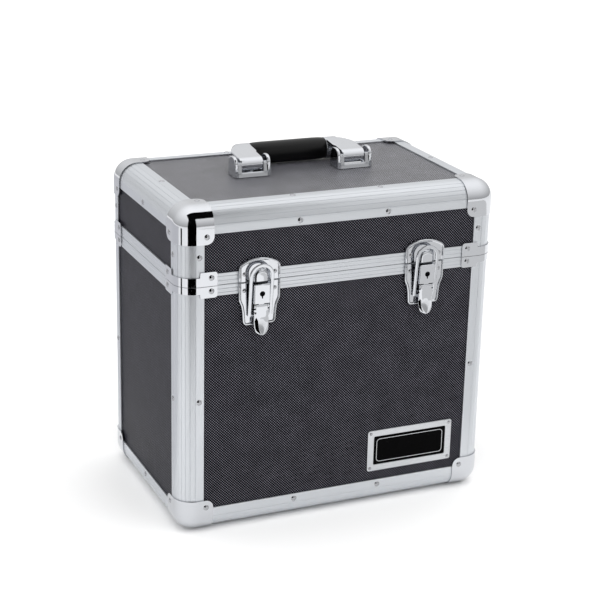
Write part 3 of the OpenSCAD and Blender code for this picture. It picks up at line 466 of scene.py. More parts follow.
# %% Level edge profiles
def edge_lengths(along, section, height, turned):
    """Two opposite lengths, drawn with the outer corner at the front (or left) edge and mirrored to the
    other side. 'section' gives the loop for side -1 and 1."""
    shape = Shape()
    wide = along == "x"
    half = (HALF_W if wide else HALF_D) - BUTT
    place = moved(y=-HALF_D) if wide else moved(x=-HALF_W)
    for side in (-1, 1):
        one = prism(Shape(), section(side), -half, half, "yzx" if wide else "xzy")
        across = mirrored("y" if wide else "x") if side > 0 else np.eye(4)
        shape.add(*one.placed(lift(height, turned) @ across @ place, flip=(side > 0) != turned))
    return shape


LENGTHS = (("x", "_wide"), ("y", "_deep"))
for node, body, flipped in (("base_edge_profiles", "body", False), ("top_edge_profiles", "lid", True)):
    for along, label in LENGTHS:
        lengths = edge_lengths(along, lambda side: profile, TOP if flipped else BASE, flipped)
        make_piece(node + label, lengths, body, anodised[along.upper()], "profile", (node,), sharp=28)
print("level edge profiles made")

# %% [markdown]
# Along the seam the two halves meet in flat bands with two shallow lines. The body's band carries a
# tongue on three sides and the lid's a groove for it; the hinged back has neither, so the lid can turn.

# %% Seam profiles
LID_BAND, BODY_BAND = 12.0, 11.0
TONGUE = (4.2, 5.6, 3.2)             # its two sides, from the outer face, and its height
GROOVE = (3.6, 6.2, 3.6)


def seam_section(band, web, tongue, groove):
    """Closed loop, first number inwards from the outer face, second away from the seam."""
    marks = [band * 0.36, band * 0.72]
    places = np.unique(np.concatenate([[m - 0.3, m, m + 0.3] for m in marks]))
    face = [(line_depth([p], marks)[0], p) for p in places]
    loop = [(0.25, 0.0), (0.0, 0.25)] + face + [(0.0, band), (SKIN, band), (SKIN, web), (INNER, web),
                                                (INNER, band), (INNER_WALL, band), (INNER_WALL, 0.0)]
    near, far, height = TONGUE if tongue else GROOVE
    if tongue:
        loop += [(far, 0.0), (far, 0.3 - height), (far - 0.3, -height), (near + 0.3, -height),
                 (near, 0.3 - height), (near, 0.0)]
    if groove:
        loop += [(far, 0.0), (far, height), (near, height), (near, 0.0)]
    return np.array(loop)


def seam_loop(along, body_side, side):
    """The seam's section on one side of the case; the hinged back has no tongue or groove."""
    plain = along == "x" and side > 0
    band, web = (BODY_BAND, 2.0) if body_side else (LID_BAND, 5.2)
    return seam_section(band, web, body_side and not plain, not (body_side or plain))


for node, body in (("body_rim_profiles", "body"), ("lid_rim_profiles", "lid")):
    down = body == "body"
    for along, label in LENGTHS:
        lengths = edge_lengths(along, lambda side: seam_loop(along, down, side),
                               SEAM_LOW if down else SEAM_HIGH, down)
        make_piece(node + label, lengths, body, anodised[along.upper()], "profile", (node,), sharp=28)
print("seam profiles made")

# %% [markdown]
# The corner caps are pressed from sheet: three faces that run into a rounded corner. Any point of a
# sharp cube corner can be pushed onto the rounded one. Find the nearest point of a box that starts one
# radius further in, and go one radius from it towards the sharp point. Done on a grid over each of the
# three faces, this gives a smooth ball, rounded edges and flat lobes with no seams between them.

# %% Corner caps
CAP_REACH, LOBE = 36.5, 8.5


def rounded_lobe(a, b, reach, lobe):
    """Moves grid points of the far square so that its outer corner becomes a quarter circle: with s and
    t from 0 to 1 in that square, x = s sqrt(1 - t^2 / 2) and y = t sqrt(1 - s^2 / 2)."""
    near = reach - lobe
    s, t = np.clip((a - near) / lobe, 0, 1), np.clip((b - near) / lobe, 0, 1)
    both = (s > 0) & (t > 0)
    new_a = np.where(both, near + lobe * s * np.sqrt(1 - t * t / 2), a)
    new_b = np.where(both, near + lobe * t * np.sqrt(1 - s * s / 2), b)
    return new_a, new_b


def cap_shape():
    """A cap at the corner, inwards along +x, +y and +z, whose outer side stands SHEET_OUT proud."""
    shape = Shape()
    radius, shift = ROUND + SHEET_OUT, SHEET_OUT
    steps = np.concatenate([np.linspace(0, radius, 13), np.linspace(radius, CAP_REACH + shift - LOBE, 3)[1:],
                            CAP_REACH + shift - LOBE + LOBE * np.sin(np.linspace(0, math.pi / 2, 8))[1:]])
    a, b = np.meshgrid(steps, steps, indexing="ij")
    a, b = rounded_lobe(a, b, CAP_REACH + shift, LOBE)
    zero = np.zeros_like(a)
    for order in ((0, 1, 2), (1, 2, 0), (2, 0, 1)):
        sharp = np.stack([(a, b, zero)[order.index(k)] for k in range(3)], -1).reshape(-1, 3)
        core = np.maximum(sharp, radius)
        away = sharp - core
        points = core + radius * away / np.linalg.norm(away, axis=1, keepdims=True) - shift
        shape.add(points, grid_faces(len(steps), len(steps)))
    return shape


def chrome_piece(name, shape, body, node, **more):
    return make_piece(name, shape, body, bright_plating, "chrome", (node,), **more)


def join_seams(piece, distance=0.01):
    """Welds points that lie on each other, so that shading runs across."""
    weld = piece.modifiers.new("weld", "WELD")
    weld.merge_threshold = distance * MM
    bpy.context.view_layer.update()
    piece.modifiers.move(len(piece.modifiers) - 1, 0)


for node, body, flipped in (("base_corner_caps", "body", False), ("top_corner_caps", "lid", True)):
    cap = Shape().add(*cap_shape().placed(lift(TOP if flipped else BASE, flipped), flip=flipped))
    join_seams(chrome_piece(node + "_pressed", at_each_edge(cap), body, node, wall=SHEET, bevel=0.35,
                            sharp=40))
print("corner caps made")

# %% [markdown]
# Where the seam meets the upright edges, pressed brackets wrap round the posts. They are a strip along
# a path: straight, a quarter turn, straight. The strip is low in the round and steps up to a lobe at
# each end for a rivet.

# %% Seam brackets
BRACKET_REACH, BRACKET_STEP = 40.0, 21.0


def bracket_shape(wrap, lobe):
    """A strip from one lobe round the corner to the other. Its height is wrap + (lobe - wrap) times a
    smooth step, and drops along a quarter circle at each free end."""
    radius, corner, slope = ROUND + SHEET_OUT, 3.0, 0.8
    straight = np.concatenate([BRACKET_REACH - corner * (1 - np.cos(np.linspace(0, math.pi / 2, 7))),
                               np.linspace(BRACKET_REACH - corner, BRACKET_STEP + slope, 3)[1:],
                               np.linspace(BRACKET_STEP + slope, BRACKET_STEP, 5)[1:]])
    angle = np.linspace(0, math.pi / 2, 17)[1:-1]
    step = 1 - np.clip((straight - BRACKET_STEP) / slope, 0, 1)
    step = step * step * (3 - 2 * step)
    side_height = lobe + (wrap - lobe) * step
    side_height -= corner - np.sqrt(np.clip(corner ** 2 - np.clip(straight - BRACKET_REACH + corner, 0,
                                                                  corner) ** 2, 0, None))
    x = np.concatenate([straight, ROUND - radius * np.sin(angle), np.full(len(straight), -SHEET_OUT)])
    y = np.concatenate([np.full(len(straight), -SHEET_OUT), ROUND - radius * np.cos(angle), straight[::-1]])
    height = np.concatenate([side_height, np.full(len(angle), wrap), side_height[::-1]])
    level = np.linspace(0, 1, 4)[:, None]
    points = np.stack([x + 0 * level, y + 0 * level, height * level], -1)
    return Shape().add(points, grid_faces(4, len(x))[:, ::-1])


for node, body, wrap, lobe in (("body_seam_brackets", "body", 7.5, 12.0),
                               ("lid_seam_brackets", "lid", 9.5, 15.0)):
    down = body == "body"
    strip = bracket_shape(wrap, lobe).placed(lift(SEAM_LOW if down else SEAM_HIGH, down), flip=down)
    strip = Shape().add(*strip)
    chrome_piece(node + "_pressed", at_each_edge(strip), body, node, wall=SHEET, bevel=0.3, sharp=40)
print("seam brackets made")

# %% [markdown]
# Rivets hold every profile, corner and plate. A dome head is a slice of a ball, so its profile is an arc
# whose radius follows from the head's width and height. One head is drawn and numpy copies it to all its
# places at once, turned to face out of the surface it sits on.

# %% Rivet heads
def enclosed_volume(points, faces):
    """Sum over triangles of a . (b x c) / 6, which is positive when the faces point outwards."""
    fans = np.array([(face[0], face[i], face[i + 1]) for face in faces for i in range(1, len(face) - 1)])
    a, b, c = (points[fans[:, k]] for k in range(3))
    return np.einsum("ij,ij->", a, np.cross(b, c)) / 6


def add_solid(shape, points, faces):
    """Adds a closed form and turns its faces round if they point inwards."""
    points = np.asarray(points, float).reshape(-1, 3)
    if enclosed_volume(points - points.mean(0), faces) < 0:
        faces = [face[::-1] for face in faces]
    return shape.add(points, faces)


def loft(shape, rings, joined=False):
    """Skins a stack of closed loops of equal count; 'joined' runs the last loop back into the first,
    and otherwise the two ends are closed with a face each."""
    rings = np.asarray(rings, float)
    rows, n = rings.shape[:2]
    faces = grid_faces(rows, n, wrap_rows=joined, wrap_columns=True).tolist()
    if not joined:
        faces += [list(range(n))[::-1], list(range((rows - 1) * n, rows * n))]
    return add_solid(shape, rings, faces)


def dome_head(radius, height):
    """Head on z = 0: the ball's radius is (r^2 + h^2) / 2h, and the rings climb it from rim to crown."""
    ball = (radius ** 2 + height ** 2) / (2 * height)
    angle = np.linspace(math.asin(radius / ball), 0.05, 7)
    ring_r = np.concatenate([[radius - 0.1, radius], ball * np.sin(angle)])
    ring_z = np.concatenate([[-0.4, -0.02], height - ball + ball * np.cos(angle)])
    turn = np.linspace(0, 2 * math.pi, 20, endpoint=False)
    return np.stack([ring_r[:, None] * np.cos(turn), ring_r[:, None] * np.sin(turn),
                     ring_z[:, None] + 0 * turn], -1)


def set_heads(shape, head, places):
    """Copies the head to places given as x, y, z and the way it faces: p + x u + y v + z n."""
    one = Shape()
    loft(one, head)
    points, places = np.concatenate(one.points), np.array(places, float)
    spot, facing = places[:, None, :3], places[:, 3:]
    across = np.cross(np.where(np.abs(facing[:, 2:]) > 0.5, [[1.0, 0.0, 0.0]], [[0.0, 0.0, 1.0]]), facing)
    along = np.cross(facing, across)
    copies = (spot + points[None, :, :1] * across[:, None] + points[None, :, 1:2] * along[:, None]
              + points[None, :, 2:] * facing[:, None])
    for copy in copies:
        shape.add(copy, one.faces)
    return shape


def rivet_heads(name, radius, height, places, body, node):
    make_piece(name, set_heads(Shape(), dome_head(radius, height), places), body, rivet_plating, "rivet",
               (node,), sharp=50)


def on_walls(inset, z, proud=0.0):
    """Both walls beside each upright edge, 'inset' from the edge and 'proud' of the profile."""
    x, y, out = HALF_W - inset, HALF_D - inset, proud
    walls = [(i * x, j * (HALF_D + out), z, 0, j, 0) for i, j in QUARTERS]
    return walls + [(i * (HALF_W + out), j * y, z, i, 0, 0) for i, j in QUARTERS]


def on_long_edges(z):
    return ([(i * RIVET_SPREAD, j * HALF_D, z, 0, j, 0) for i, j in QUARTERS]
            + [(i * HALF_W, 0, z, i, 0, 0) for i in (-1, 1)])


def on_level(z, up):
    return ([(i * RIVET_SPREAD, j * (HALF_D - EDGE_RIVET), z, 0, 0, up) for i, j in QUARTERS]
            + [(i * (HALF_W - EDGE_RIVET), 0, z, 0, 0, up) for i in (-1, 1)])


CAP_RIVET, BRACKET_RIVET = 28.5, 33.5
EDGE_RIVET, RIVET_SPREAD = 21.0, 50.0      # from the edge; from the middle of a long side
body_places = (on_walls(EDGE_RIVET, BASE + 149) + on_long_edges(BASE + EDGE_RIVET) + on_level(BASE, -1)
               + on_walls(CAP_RIVET, BASE + CAP_RIVET, SHEET_OUT)
               + on_walls(BRACKET_RIVET, SEAM - 5.2, SHEET_OUT))
lid_places = (on_walls(EDGE_RIVET, SEAM + 30.7) + on_long_edges(TOP - EDGE_RIVET) + on_level(TOP, 1)
              + on_walls(CAP_RIVET, TOP - CAP_RIVET, SHEET_OUT)
              + on_walls(BRACKET_RIVET, SEAM + 9, SHEET_OUT)
              + [(i * (HALF_W - CAP_RIVET), j * (HALF_D - CAP_RIVET), TOP + SHEET_OUT, 0, 0, 1)
                 for i, j in QUARTERS])
for body, places in (("body", body_places), ("lid", lid_places)):
    rivet_heads(body + "_rivet_heads", 3.1, 1.2, places, body, body + "_rivets")
print("rivet heads:", len(body_places), "on the body and", len(lid_places), "on the lid")

# %% [markdown]
# The latch plates are die-cast with a raised rim and soft edges. An outline with rounded corners is
# drawn once, then repeated smaller and further out, and the loops are skinned. How far each loop goes in
# and out is the section of the rim, so the rim follows the outline all the way round.

# %% Outlines, insets and latch places
LATCH_X, LATCH_RIVET = 94.5, 16.6     # a latch from the case's middle; its rivets from its own
PLATE_FACE = 1.9                     # how far out the latch plates' faces stand


def rounded_outline(corners, radii, steps=7):
    """Anticlockwise polygon whose corners are arcs, each centred where both sides are one radius away."""
    corners = np.array(corners, float)
    loop = []
    neighbours = zip(np.roll(corners, 1, 0), np.roll(corners, -1, 0))
    for corner, (before, after), radius in zip(corners, neighbours, radii):
        if radius <= 0:
            loop.append(corner[None])
            continue
        a = (before - corner) / np.linalg.norm(before - corner)
        b = (after - corner) / np.linalg.norm(after - corner)
        half = 0.5 * math.acos(np.clip(a @ b, -1, 1))
        centre = corner + (a + b) / np.linalg.norm(a + b) * radius / math.sin(half)
        start = corner + a * radius / math.tan(half) - centre
        end = corner + b * radius / math.tan(half) - centre
        first = math.atan2(start[1], start[0])
        sweep = (math.atan2(end[1], end[0]) - first + math.pi) % (2 * math.pi) - math.pi
        angle = first + sweep * np.linspace(0, 1, steps)
        loop.append(centre + radius * np.stack([np.cos(angle), np.sin(angle)], 1))
    return np.concatenate(loop)


def inset_loop(loop, distance):
    """Moves an anticlockwise loop inwards: each point goes along the sum of its sides' normals, divided by
    1 + the cosine of the turn."""
    ahead = np.roll(loop, -1, 0) - loop
    ahead = ahead / np.linalg.norm(ahead, axis=1, keepdims=True)
    behind = np.roll(ahead, 1, 0)
    normal = np.stack([-(ahead + behind)[:, 1], (ahead + behind)[:, 0]], 1)
    return loop + distance * normal / (1 + np.sum(ahead * behind, 1, keepdims=True))


def at_latch(side, x, out, z):
    """From a latch's own places (across, out of the front face, up from the seam) to the case's."""
    x, out, z = np.broadcast_arrays(x, out, z)
    return np.stack([side * LATCH_X + x, -HALF_D - out, SEAM + z], -1)


def raised_rings(side, loop, section, edge_z, rise=0.0, keep=0.25):
    """Loops for loft: 'section' lists (inset, out, share of the rise). Points on the seam edge stay there,
    going in by 'keep' at most, so that the plates meet the seam squarely."""
    at_edge = np.abs(loop[:, 1] - edge_z) < 0.01
    inwards = np.sign(loop[:, 1].mean() - edge_z)
    rings = []
    for depth, out, share in section:
        flat = inset_loop(loop, depth)
        flat[at_edge, 1] = edge_z + inwards * min(depth, keep)
        rings.append(at_latch(side, flat[:, 0], out + share * rise, flat[:, 1]))
    return rings


RIM = [(0, -1.7, 0), (0, 1.0, 0), (0.12, 1.45, 0.35), (0.45, 1.75, 0.75)]
RIM += [(depth, PLATE_FACE, share) for depth, share in
        ((0.95, 1.0), (1.6, 1.0), (2.05, 0.75), (2.4, 0.25), (2.8, 0.0), (3.1, 0.0))]
print("outline helpers ready")

# %% [markdown]
# The keeper is riveted to the lid. Its top is an arch, and in the middle stands the hook, a boss with a
# flat underside and rounded front edges, which the draw ring lies round when the latch is shut.

# %% Latch keepers
def keeper_loop():
    bow = np.linspace(0, 1, 7)[:, None]
    arch_x = np.linspace(19.6, -19.6, 21)
    arch = np.stack([arch_x, -12.7 + np.sqrt(38.0 ** 2 - arch_x ** 2)], 1)
    corner = ((1 - bow) ** 2 * np.array([23.0, 14.6]) + 2 * bow * (1 - bow) * np.array([23.0, 17.5])
              + bow ** 2 * arch[0])
    right = np.concatenate([[(23.0, 0.6), (23.0, 1.5), (23.0, 6.0)], corner[:-1]])
    left = right[::-1] * [-1, 1]
    return np.concatenate([right, arch, left])


def hook_loop():
    turn = np.linspace(0, math.pi, 25)
    dome = np.stack([9.0 * np.cos(turn), 5.8 + 9.0 * np.sin(turn)], 1)
    return np.concatenate([[(9.0, 0.8), (9.0, 2.6)], dome, [(-9.0, 2.6), (-9.0, 0.8)]])


round_over = np.linspace(0, math.pi / 2, 7)
HOOK = ([(0, 1.5, 0)] + [(4 * (1 - math.cos(t)), 3.2 + 4 * math.sin(t), 0) for t in round_over]
        + [(5.2, 7.28, 0), (6.6, 7.36, 0), (7.4, 7.38, 0)])
for side, label in SIDES:
    loop = keeper_loop()
    rise = np.where(loop[:, 1] < 1.0, 0.0, 0.45 + 0.75 * np.clip((np.abs(loop[:, 0]) - 19) / 3.5, 0, 1))
    keeper = loft(Shape(), raised_rings(side, loop, RIM, 0.6, rise))
    loft(keeper, raised_rings(side, hook_loop(), HOOK, 0.8, keep=0.6))
    chrome_piece(label + "_keeper_cast", keeper, "lid", label + "_latch_keeper", sharp=60)
print("latch keepers made")

# %% [markdown]
# The base plate carries the lock's housing and the ears for the lever's pin. The housing is a box with no
# back or bottom, so it is drawn as a thin shell, its front pierced by a keyhole, and then given a wall.
# The plate has a window for the lever's lip to swing through, as the solid model has.

# %% Latch base plates, ears and lock housings
def base_loop():
    right = [(18.0, -46.5), (19.0, -32.0), (20.2, -25.0), (23.0, -19.5), (23.0, -6.0), (23.0, -1.5),
             (23.0, -0.6)]
    radii = [4.6, 28.0, 16.0, 12.0, 0, 0, 0]
    left = [(-x, z) for x, z in right[::-1]]
    return rounded_outline(right + left, radii + radii[::-1])


KEYHOLE_R, SLOT_HALF, LOCK_Z = 2.9, 0.7, -11.2


def keyhole_loop():
    """A circle that starts and ends where the slot's two sides meet it."""
    gap = math.asin(SLOT_HALF / KEYHOLE_R)
    turn = np.linspace(-math.pi / 2 + gap, 1.5 * math.pi - gap, 26)
    hole = np.stack([KEYHOLE_R * np.cos(turn), LOCK_Z + KEYHOLE_R * np.sin(turn)], 1)
    slot = np.array([(-SLOT_HALF, -16.0), (-0.4, -16.3), (0.4, -16.3), (SLOT_HALF, -16.0)])
    return np.concatenate([hole, slot])


def housing_shape(side):
    """The U of side, top and side at growing distances out, turning into the face round the keyhole."""
    u_loop = rounded_outline([(8.9, -21.6), (8.9, -0.8), (-8.9, -0.8), (-8.9, -21.6)], [0, 1.3, 1.3, 0], 5)
    turns = np.linspace(0, math.pi / 2, 5)
    section = [(0, 1.8, 0)] + [(0.9 * (1 - math.cos(t)), 9.1 + 0.9 * math.sin(t), 0) for t in turns]
    section += [(1.3, 10, 0)]
    rings = np.array(raised_rings(side, u_loop, section, -21.6, keep=0.0))
    hole = keyhole_loop()
    points = np.concatenate([rings.reshape(-1, 3), at_latch(side, hole[:, 0], 10.0, hole[:, 1])])
    rows, n = rings.shape[:2]
    front = tessellate_polygon([[Vector(p) for p in rings[-1]], [Vector(p) for p in points[rows * n:]]])
    faces = grid_faces(rows, n).tolist()
    faces += [[int(i) + (rows - 1) * n for i in face] for face in front]
    return Shape().add(points, faces)


def latch_block(shape, side, outline, first, last):
    """Carries an outline in (out, up) across the latch from x = first to x = last."""
    outline = np.array(outline, float)
    return loft(shape, [at_latch(side, x, outline[:, 0], outline[:, 1]) for x in (first, last)])


def face_out(piece):
    """Recalculates the normals, for a shell whose faces came from the tessellator either way round."""
    work = bmesh.new()
    work.from_mesh(piece.data)
    bmesh.ops.recalc_face_normals(work, faces=work.faces)
    work.to_mesh(piece.data)
    work.free()
    crease_rims(piece.data)


def pierced_plate(side, rings, window):
    """Skins a stack of loops and closes both ends, leaving a window straight through from end to end."""
    rings = np.asarray(rings, float)
    rows, n = rings.shape[:2]
    window = np.array(window, float)
    ends = [at_latch(side, window[:, 0], out, window[:, 1]) for out in (RIM[0][1], RIM[-1][1])]
    points = np.concatenate([rings.reshape(-1, 3), *ends])
    faces = grid_faces(rows, n, wrap_columns=True).tolist()
    faces += grid_faces(2, len(window), wrap_columns=True, start=rows * n).tolist()
    for outer, inner in ((0, rows * n), ((rows - 1) * n, rows * n + len(window))):
        loops = [points[outer:outer + n], points[inner:inner + len(window)]]
        cut = tessellate_polygon([[Vector(p) for p in loop] for loop in loops])
        faces += [[int(i) + outer if i < n else int(i) - n + inner for i in face] for face in cut]
    return Shape().add(points, faces)


LIP_WINDOW = [(3.5, -27.5), (3.5, -17.9), (-3.5, -17.9), (-3.5, -27.5)]
EAR = rounded_outline([(8.8, -27.9), (8.8, -22.7), (1.2, -22.7), (1.2, -27.9)], [2.55, 2.55, 0, 0])
for side, label in SIDES:
    loop = base_loop()
    rise = np.where(loop[:, 1] > -1.0, 0.0, 1.2)
    plate = pierced_plate(side, raised_rings(side, loop, RIM, -0.6, rise), LIP_WINDOW)
    for x in (-8.2, 6.6):
        latch_block(plate, side, EAR, x, x + 1.6)
    face_out(chrome_piece(label + "_latch_base_plate", plate, "body", label + "_latch_base", sharp=60))
    face_out(chrome_piece(label + "_lock_housing", housing_shape(side), "body", label + "_latch_base",
                          sharp=50, wall=1.0))
print("latch bases and lock housings made")

# %% [markdown]
# The draw ring is flat steel bent into an arch, with both ends turned in to pivot in the lever. A rounded
# section is carried up one leg, round the half circle and down the other, and the whole leans outwards.

# %% Draw rings
RING_RADIUS, RING_LEG, LEAN = 11.6, 42.4, math.radians(5.7)
RING_PIVOT_OUT, RING_PIVOT_Z = 3.6, -35.0
ring_section = rounded_outline([(1.9, -1.2), (1.9, 1.2), (-1.9, 1.2), (-1.9, -1.2)], [0.95] * 4, 5)


def leaning(side, x, thick, z):
    """Turns the ring's flat places about its pivot: out = t cos a + z sin a, up = z cos a - t sin a."""
    return at_latch(side, x, RING_PIVOT_OUT + thick * math.cos(LEAN) + z * math.sin(LEAN),
                    RING_PIVOT_Z + z * math.cos(LEAN) - thick * math.sin(LEAN))


def ring_shape(side):
    turn = np.linspace(0, math.pi, 29)
    away_x = np.concatenate([[1, 1, 1], np.cos(turn), [-1, -1, -1]])
    path_x = away_x * RING_RADIUS
    path_z = np.concatenate([[-1.0, 14, 28], RING_LEG + RING_RADIUS * np.sin(turn), [28, 14, -1.0]])
    away_z = np.concatenate([[0, 0, 0], np.sin(turn), [0, 0, 0]])
    width, thick = ring_section[:, 0], ring_section[:, 1]
    x = path_x[:, None] + away_x[:, None] * width
    z = path_z[:, None] + away_z[:, None] * width
    shape = loft(Shape(), leaning(side, x, thick + 0 * x, z))
    bend = full_turn(16)
    for s in (-1, 1):
        ends = [leaning(side, s * reach, 1.2 * np.cos(bend), 1.2 * np.sin(bend)) for reach in (6.55, 11.0)]
        loft(shape, ends)
    return shape


for side, label in SIDES:
    chrome_piece(label + "_draw_ring", ring_shape(side), label + "_ring", label + "_latch_ring", sharp=60)
print("draw rings made")

# %% [markdown]
# The lever is one pressing: it wraps the pin, runs flat down the front and bends out into a thumb tab with
# a rounded tip. Its side view is a curve, its front view a half width for each height, and the two
# together are a grid that bows back towards its long edges.

# %% Levers
PIN_OUT, PIN_Z = 6.2, -25.3          # the lever's pin


def lever_sheet(side):
    """Row by row down the side view; x = half width * u. Below the barrel out loses |u|^5, and on the tab
    it loses 1.1 u^2 more."""
    round_pin = np.radians(np.linspace(165, 0, 12))
    tab = np.sin(np.linspace(0, math.pi / 2, 26))
    out = np.concatenate([PIN_OUT + 2.8 * np.cos(round_pin), [9.0, 9.0, 9.0, 9.0], 9.0 + 3.2 * tab ** 1.25])
    z = np.concatenate([PIN_Z + 2.8 * np.sin(round_pin), [-28.2, -28.7, -31.0, -34.0], -36.5 - 18.5 * tab])
    narrowing = np.clip(-41.0 - z, 0, None) / 14.1
    half = np.where(z > -28.4, 6.3, 8.1 * np.cbrt(np.clip(1 - narrowing ** 3, 0.004, 1)))
    u = np.sin(np.linspace(-math.pi / 2, math.pi / 2, 15))[None, :]
    on_tab = np.clip((-35.5 - z) / 6, 0, 1)[:, None]
    bow = np.abs(u) ** 5 * (z < -28.4)[:, None] + on_tab * 1.1 * u ** 2
    points = at_latch(side, half[:, None] * u, out[:, None] - bow, z[:, None])
    return Shape().add(points, grid_faces(len(z), u.shape[1]))


cheek = rounded_outline([(8.3, -38.0), (8.3, -30.0), (2.0, -30.0), (2.0, -38.0)], [0.8, 0.8, 2.6, 2.6])
lip = rounded_outline([(8.0, -25.5), (8.0, -17.8), (6.8, -17.8), (6.8, -25.5)], [0, 0.4, 0.4, 0])
bend = full_turn(24)
barrel = np.stack([PIN_OUT + 2.5 * np.cos(bend), PIN_Z + 2.5 * np.sin(bend)], 1)
for side, label in SIDES:
    face_out(chrome_piece(label + "_lever_pressing", lever_sheet(side), label + "_lever",
                          label + "_latch_lever", sharp=60, wall=1.3))
    inner = latch_block(Shape(), side, barrel, -6.3, 6.3)
    latch_block(inner, side, lip, -3.0, 3.0)
    for x in (-7.7, 6.3):
        latch_block(inner, side, cheek, x, x + 1.4)
    chrome_piece(label + "_lever_inside", inner, label + "_lever", label + "_latch_lever", sharp=50,
                 bevel=0.2)
print("levers made")

# %% Latch rivets
for node, z, body in (("keeper_rivets", 9.0, "lid"), ("latch_base_rivets", -8.5, "body")):
    places = [(i * LATCH_X + j * LATCH_RIVET, -HALF_D - PLATE_FACE, SEAM + z, 0, -1, 0) for i, j in QUARTERS]
    rivet_heads(node + "_heads", 2.3, 1.2, places, body, node)
dress(lock_steel, "left_lock_rotor", "right_lock_rotor")
dress(bright_plating, "left_latch_pin", "right_latch_pin")
print("latch rivets set, rotors and pins dressed")

# %% [markdown]
# The handle's brackets and arms are zinc castings, whose inner corners are filled and outer ones worn
# soft. Plain blocks are drawn where the casting has its walls. A voxel remesh melts them into one skin
# and a few rounds of smoothing leave the fillets that a mould gives.

# %% Handle castings
def cast(piece, voxel, rounds):
    """Joins overlapping closed blocks into one skin of this voxel size in mm, then smooths it."""
    melt = piece.modifiers.new("melt", "REMESH")
    melt.mode, melt.voxel_size, melt.use_smooth_shade = "VOXEL", voxel * MM, True
    soft = piece.modifiers.new("soften", "SMOOTH")
    soft.factor, soft.iterations = 0.5, rounds


def across_handle(shape, outline, first, last, side=1):
    """Carries an outline in (y, height over the top) along x."""
    outline = np.array(outline, float)
    return loft(shape, [np.stack([np.full(len(outline), side * x), outline[:, 0], TOP + outline[:, 1]], 1)
                        for x in (first, last)])


def arc(centre, radius, start, end, steps=9):
    angle = np.radians(np.linspace(start, end, steps))
    return [(centre[0] + radius * math.cos(a), centre[1] + radius * math.sin(a)) for a in angle]


PIVOT = 11.0                         # the handle pins, over the top
bracket_side = [(-11, -1.7), (11, -1.7)] + arc((1.6, 12.6), 8, 0, 90) + arc((-1.6, 12.6), 8, 90, 180)
front_low = [(-11, -1.7), (-8.3, -1.7), (-8.3, 4.1), (-10.0, 4.1)]
jamb = [(-10.3, 3), (-8.1, 3), (-8.1, 15.3)] + arc((-1.6, 12.6), 7.1, 157, 180, 5)
for side, label in SIDES:
    shape = Shape()
    for first, last in ((39.5, 43.0), (77.0, 80.5)):
        across_handle(shape, bracket_side, first, last, side)
    across_handle(shape, [(-10.8, -1.7), (10.2, -1.7), (10.0, 2.2), (-10.4, 2.2)], 41, 79, side)
    across_handle(shape, front_low, 41, 79, side)
    for first, last in ((42.5, 47.8), (72.2, 77.5)):
        across_handle(shape, jamb, first, last, side)
    cast(chrome_piece(label + "_bracket_casting", shape, "lid", label + "_handle_bracket"), 0.34, 22)
print("handle brackets made")

# %% Handle arms
GRIP_Y = 40                          # the grip's axis, behind the pins


def round_on_grip(shape, x, radius, columns):
    """Turns a radius for each x about the grip's axis."""
    around = full_turn(columns)
    return loft(shape, np.stack([x[:, None] + 0 * around, GRIP_Y + radius[:, None] * np.cos(around),
                                 TOP + PIVOT + radius[:, None] * np.sin(around)], -1))


def cup_shape(shape, side):
    """The cup at the grip's end: a radius of 11.9, closed by a quarter round of 7 at its outer end."""
    turns = np.radians(np.linspace(0, 90, 9))
    x = np.concatenate([[44.2, 50, 57.2], 57.2 + 7 * np.sin(turns[1:])])
    radius = np.concatenate([[11.9, 11.9, 11.9], 4.9 + 7 * np.cos(turns[1:])])
    return round_on_grip(shape, side * x, radius, 48)


def strap_shape(shape, side):
    """A flat strap seen from above, tilted 6.3 degrees so that it rises towards the grip."""
    plan = np.array([(46.7, 0), (73.3, 0), (73.3, 21), (71.5, 27), (67, 33), (61, 38), (45, 38), (45, 18),
                     (46.7, 14)])
    tilt = math.radians(6.3)
    rings = []
    for height in (0.0, 3.4):
        rings.append(np.stack([side * plan[:, 0], plan[:, 1] * math.cos(tilt) - height * math.sin(tilt),
                               TOP + 15.2 + plan[:, 1] * math.sin(tilt) + height * math.cos(tilt)], 1))
    return loft(shape, rings)


ROLL = arc((0, PIVOT), 7.7, 0, 351, 40)              # the arm's rolled end, round the pin
for side, label in SIDES:
    shape = strap_shape(cup_shape(Shape(), side), side)
    across_handle(shape, ROLL, 46.7, 73.3, side)
    cast(chrome_piece(label + "_arm_casting", shape, "handle", label + "_handle_arm"), 0.36, 32)
print("handle arms made")

# %% [markdown]
# The grip is a moulded round that is a little thinner at both ends. Its radius for each place along x,
# turned about the axis, gives the surface. The pins and screws keep their solids.

# %% Grip, pins and screws
def grip_shape():
    """Radius 12.3 less 0.9 times (|x| / 44)^10, closed at the ends by a small round."""
    x = 44 * np.sin(np.linspace(-math.pi / 2, math.pi / 2, 41))
    radius = 12.3 - 0.9 * np.abs(x / 44) ** 10
    return round_on_grip(Shape(), x, radius, 64)


make_piece("grip_moulding", grip_shape(), "handle", grip_plastic, "grip", ("handle_grip",), sharp=50,
           bevel=0.4)
dress(bright_plating, "left_handle_pin", "right_handle_pin")
dress(rivet_plating, "handle_screws")
print("grip made")

# %% [markdown]
# The nameplate is a brushed metal frame riveted to the front, round a bare black plate with one fine
# raised line. A frame is a loop of loops: the outer outline and the window's outline, joined both in
# front and behind.

# %% Nameplate
PLATE_X, PLATE_Z = 88.5, 62.8


def at_plate(loop, out):
    level = np.full(len(loop), -HALF_D + PANEL - out)
    return np.stack([PLATE_X + loop[:, 0], level, PLATE_Z + loop[:, 1]], 1)


def rounded_rectangle(half_w, half_h, radius):
    return rounded_outline([(half_w, -half_h), (half_w, half_h), (-half_w, half_h), (-half_w, -half_h)],
                           [radius] * 4, 6)


def plate_rings(loop, section):
    return [at_plate(inset_loop(loop, depth), out) for depth, out in section]


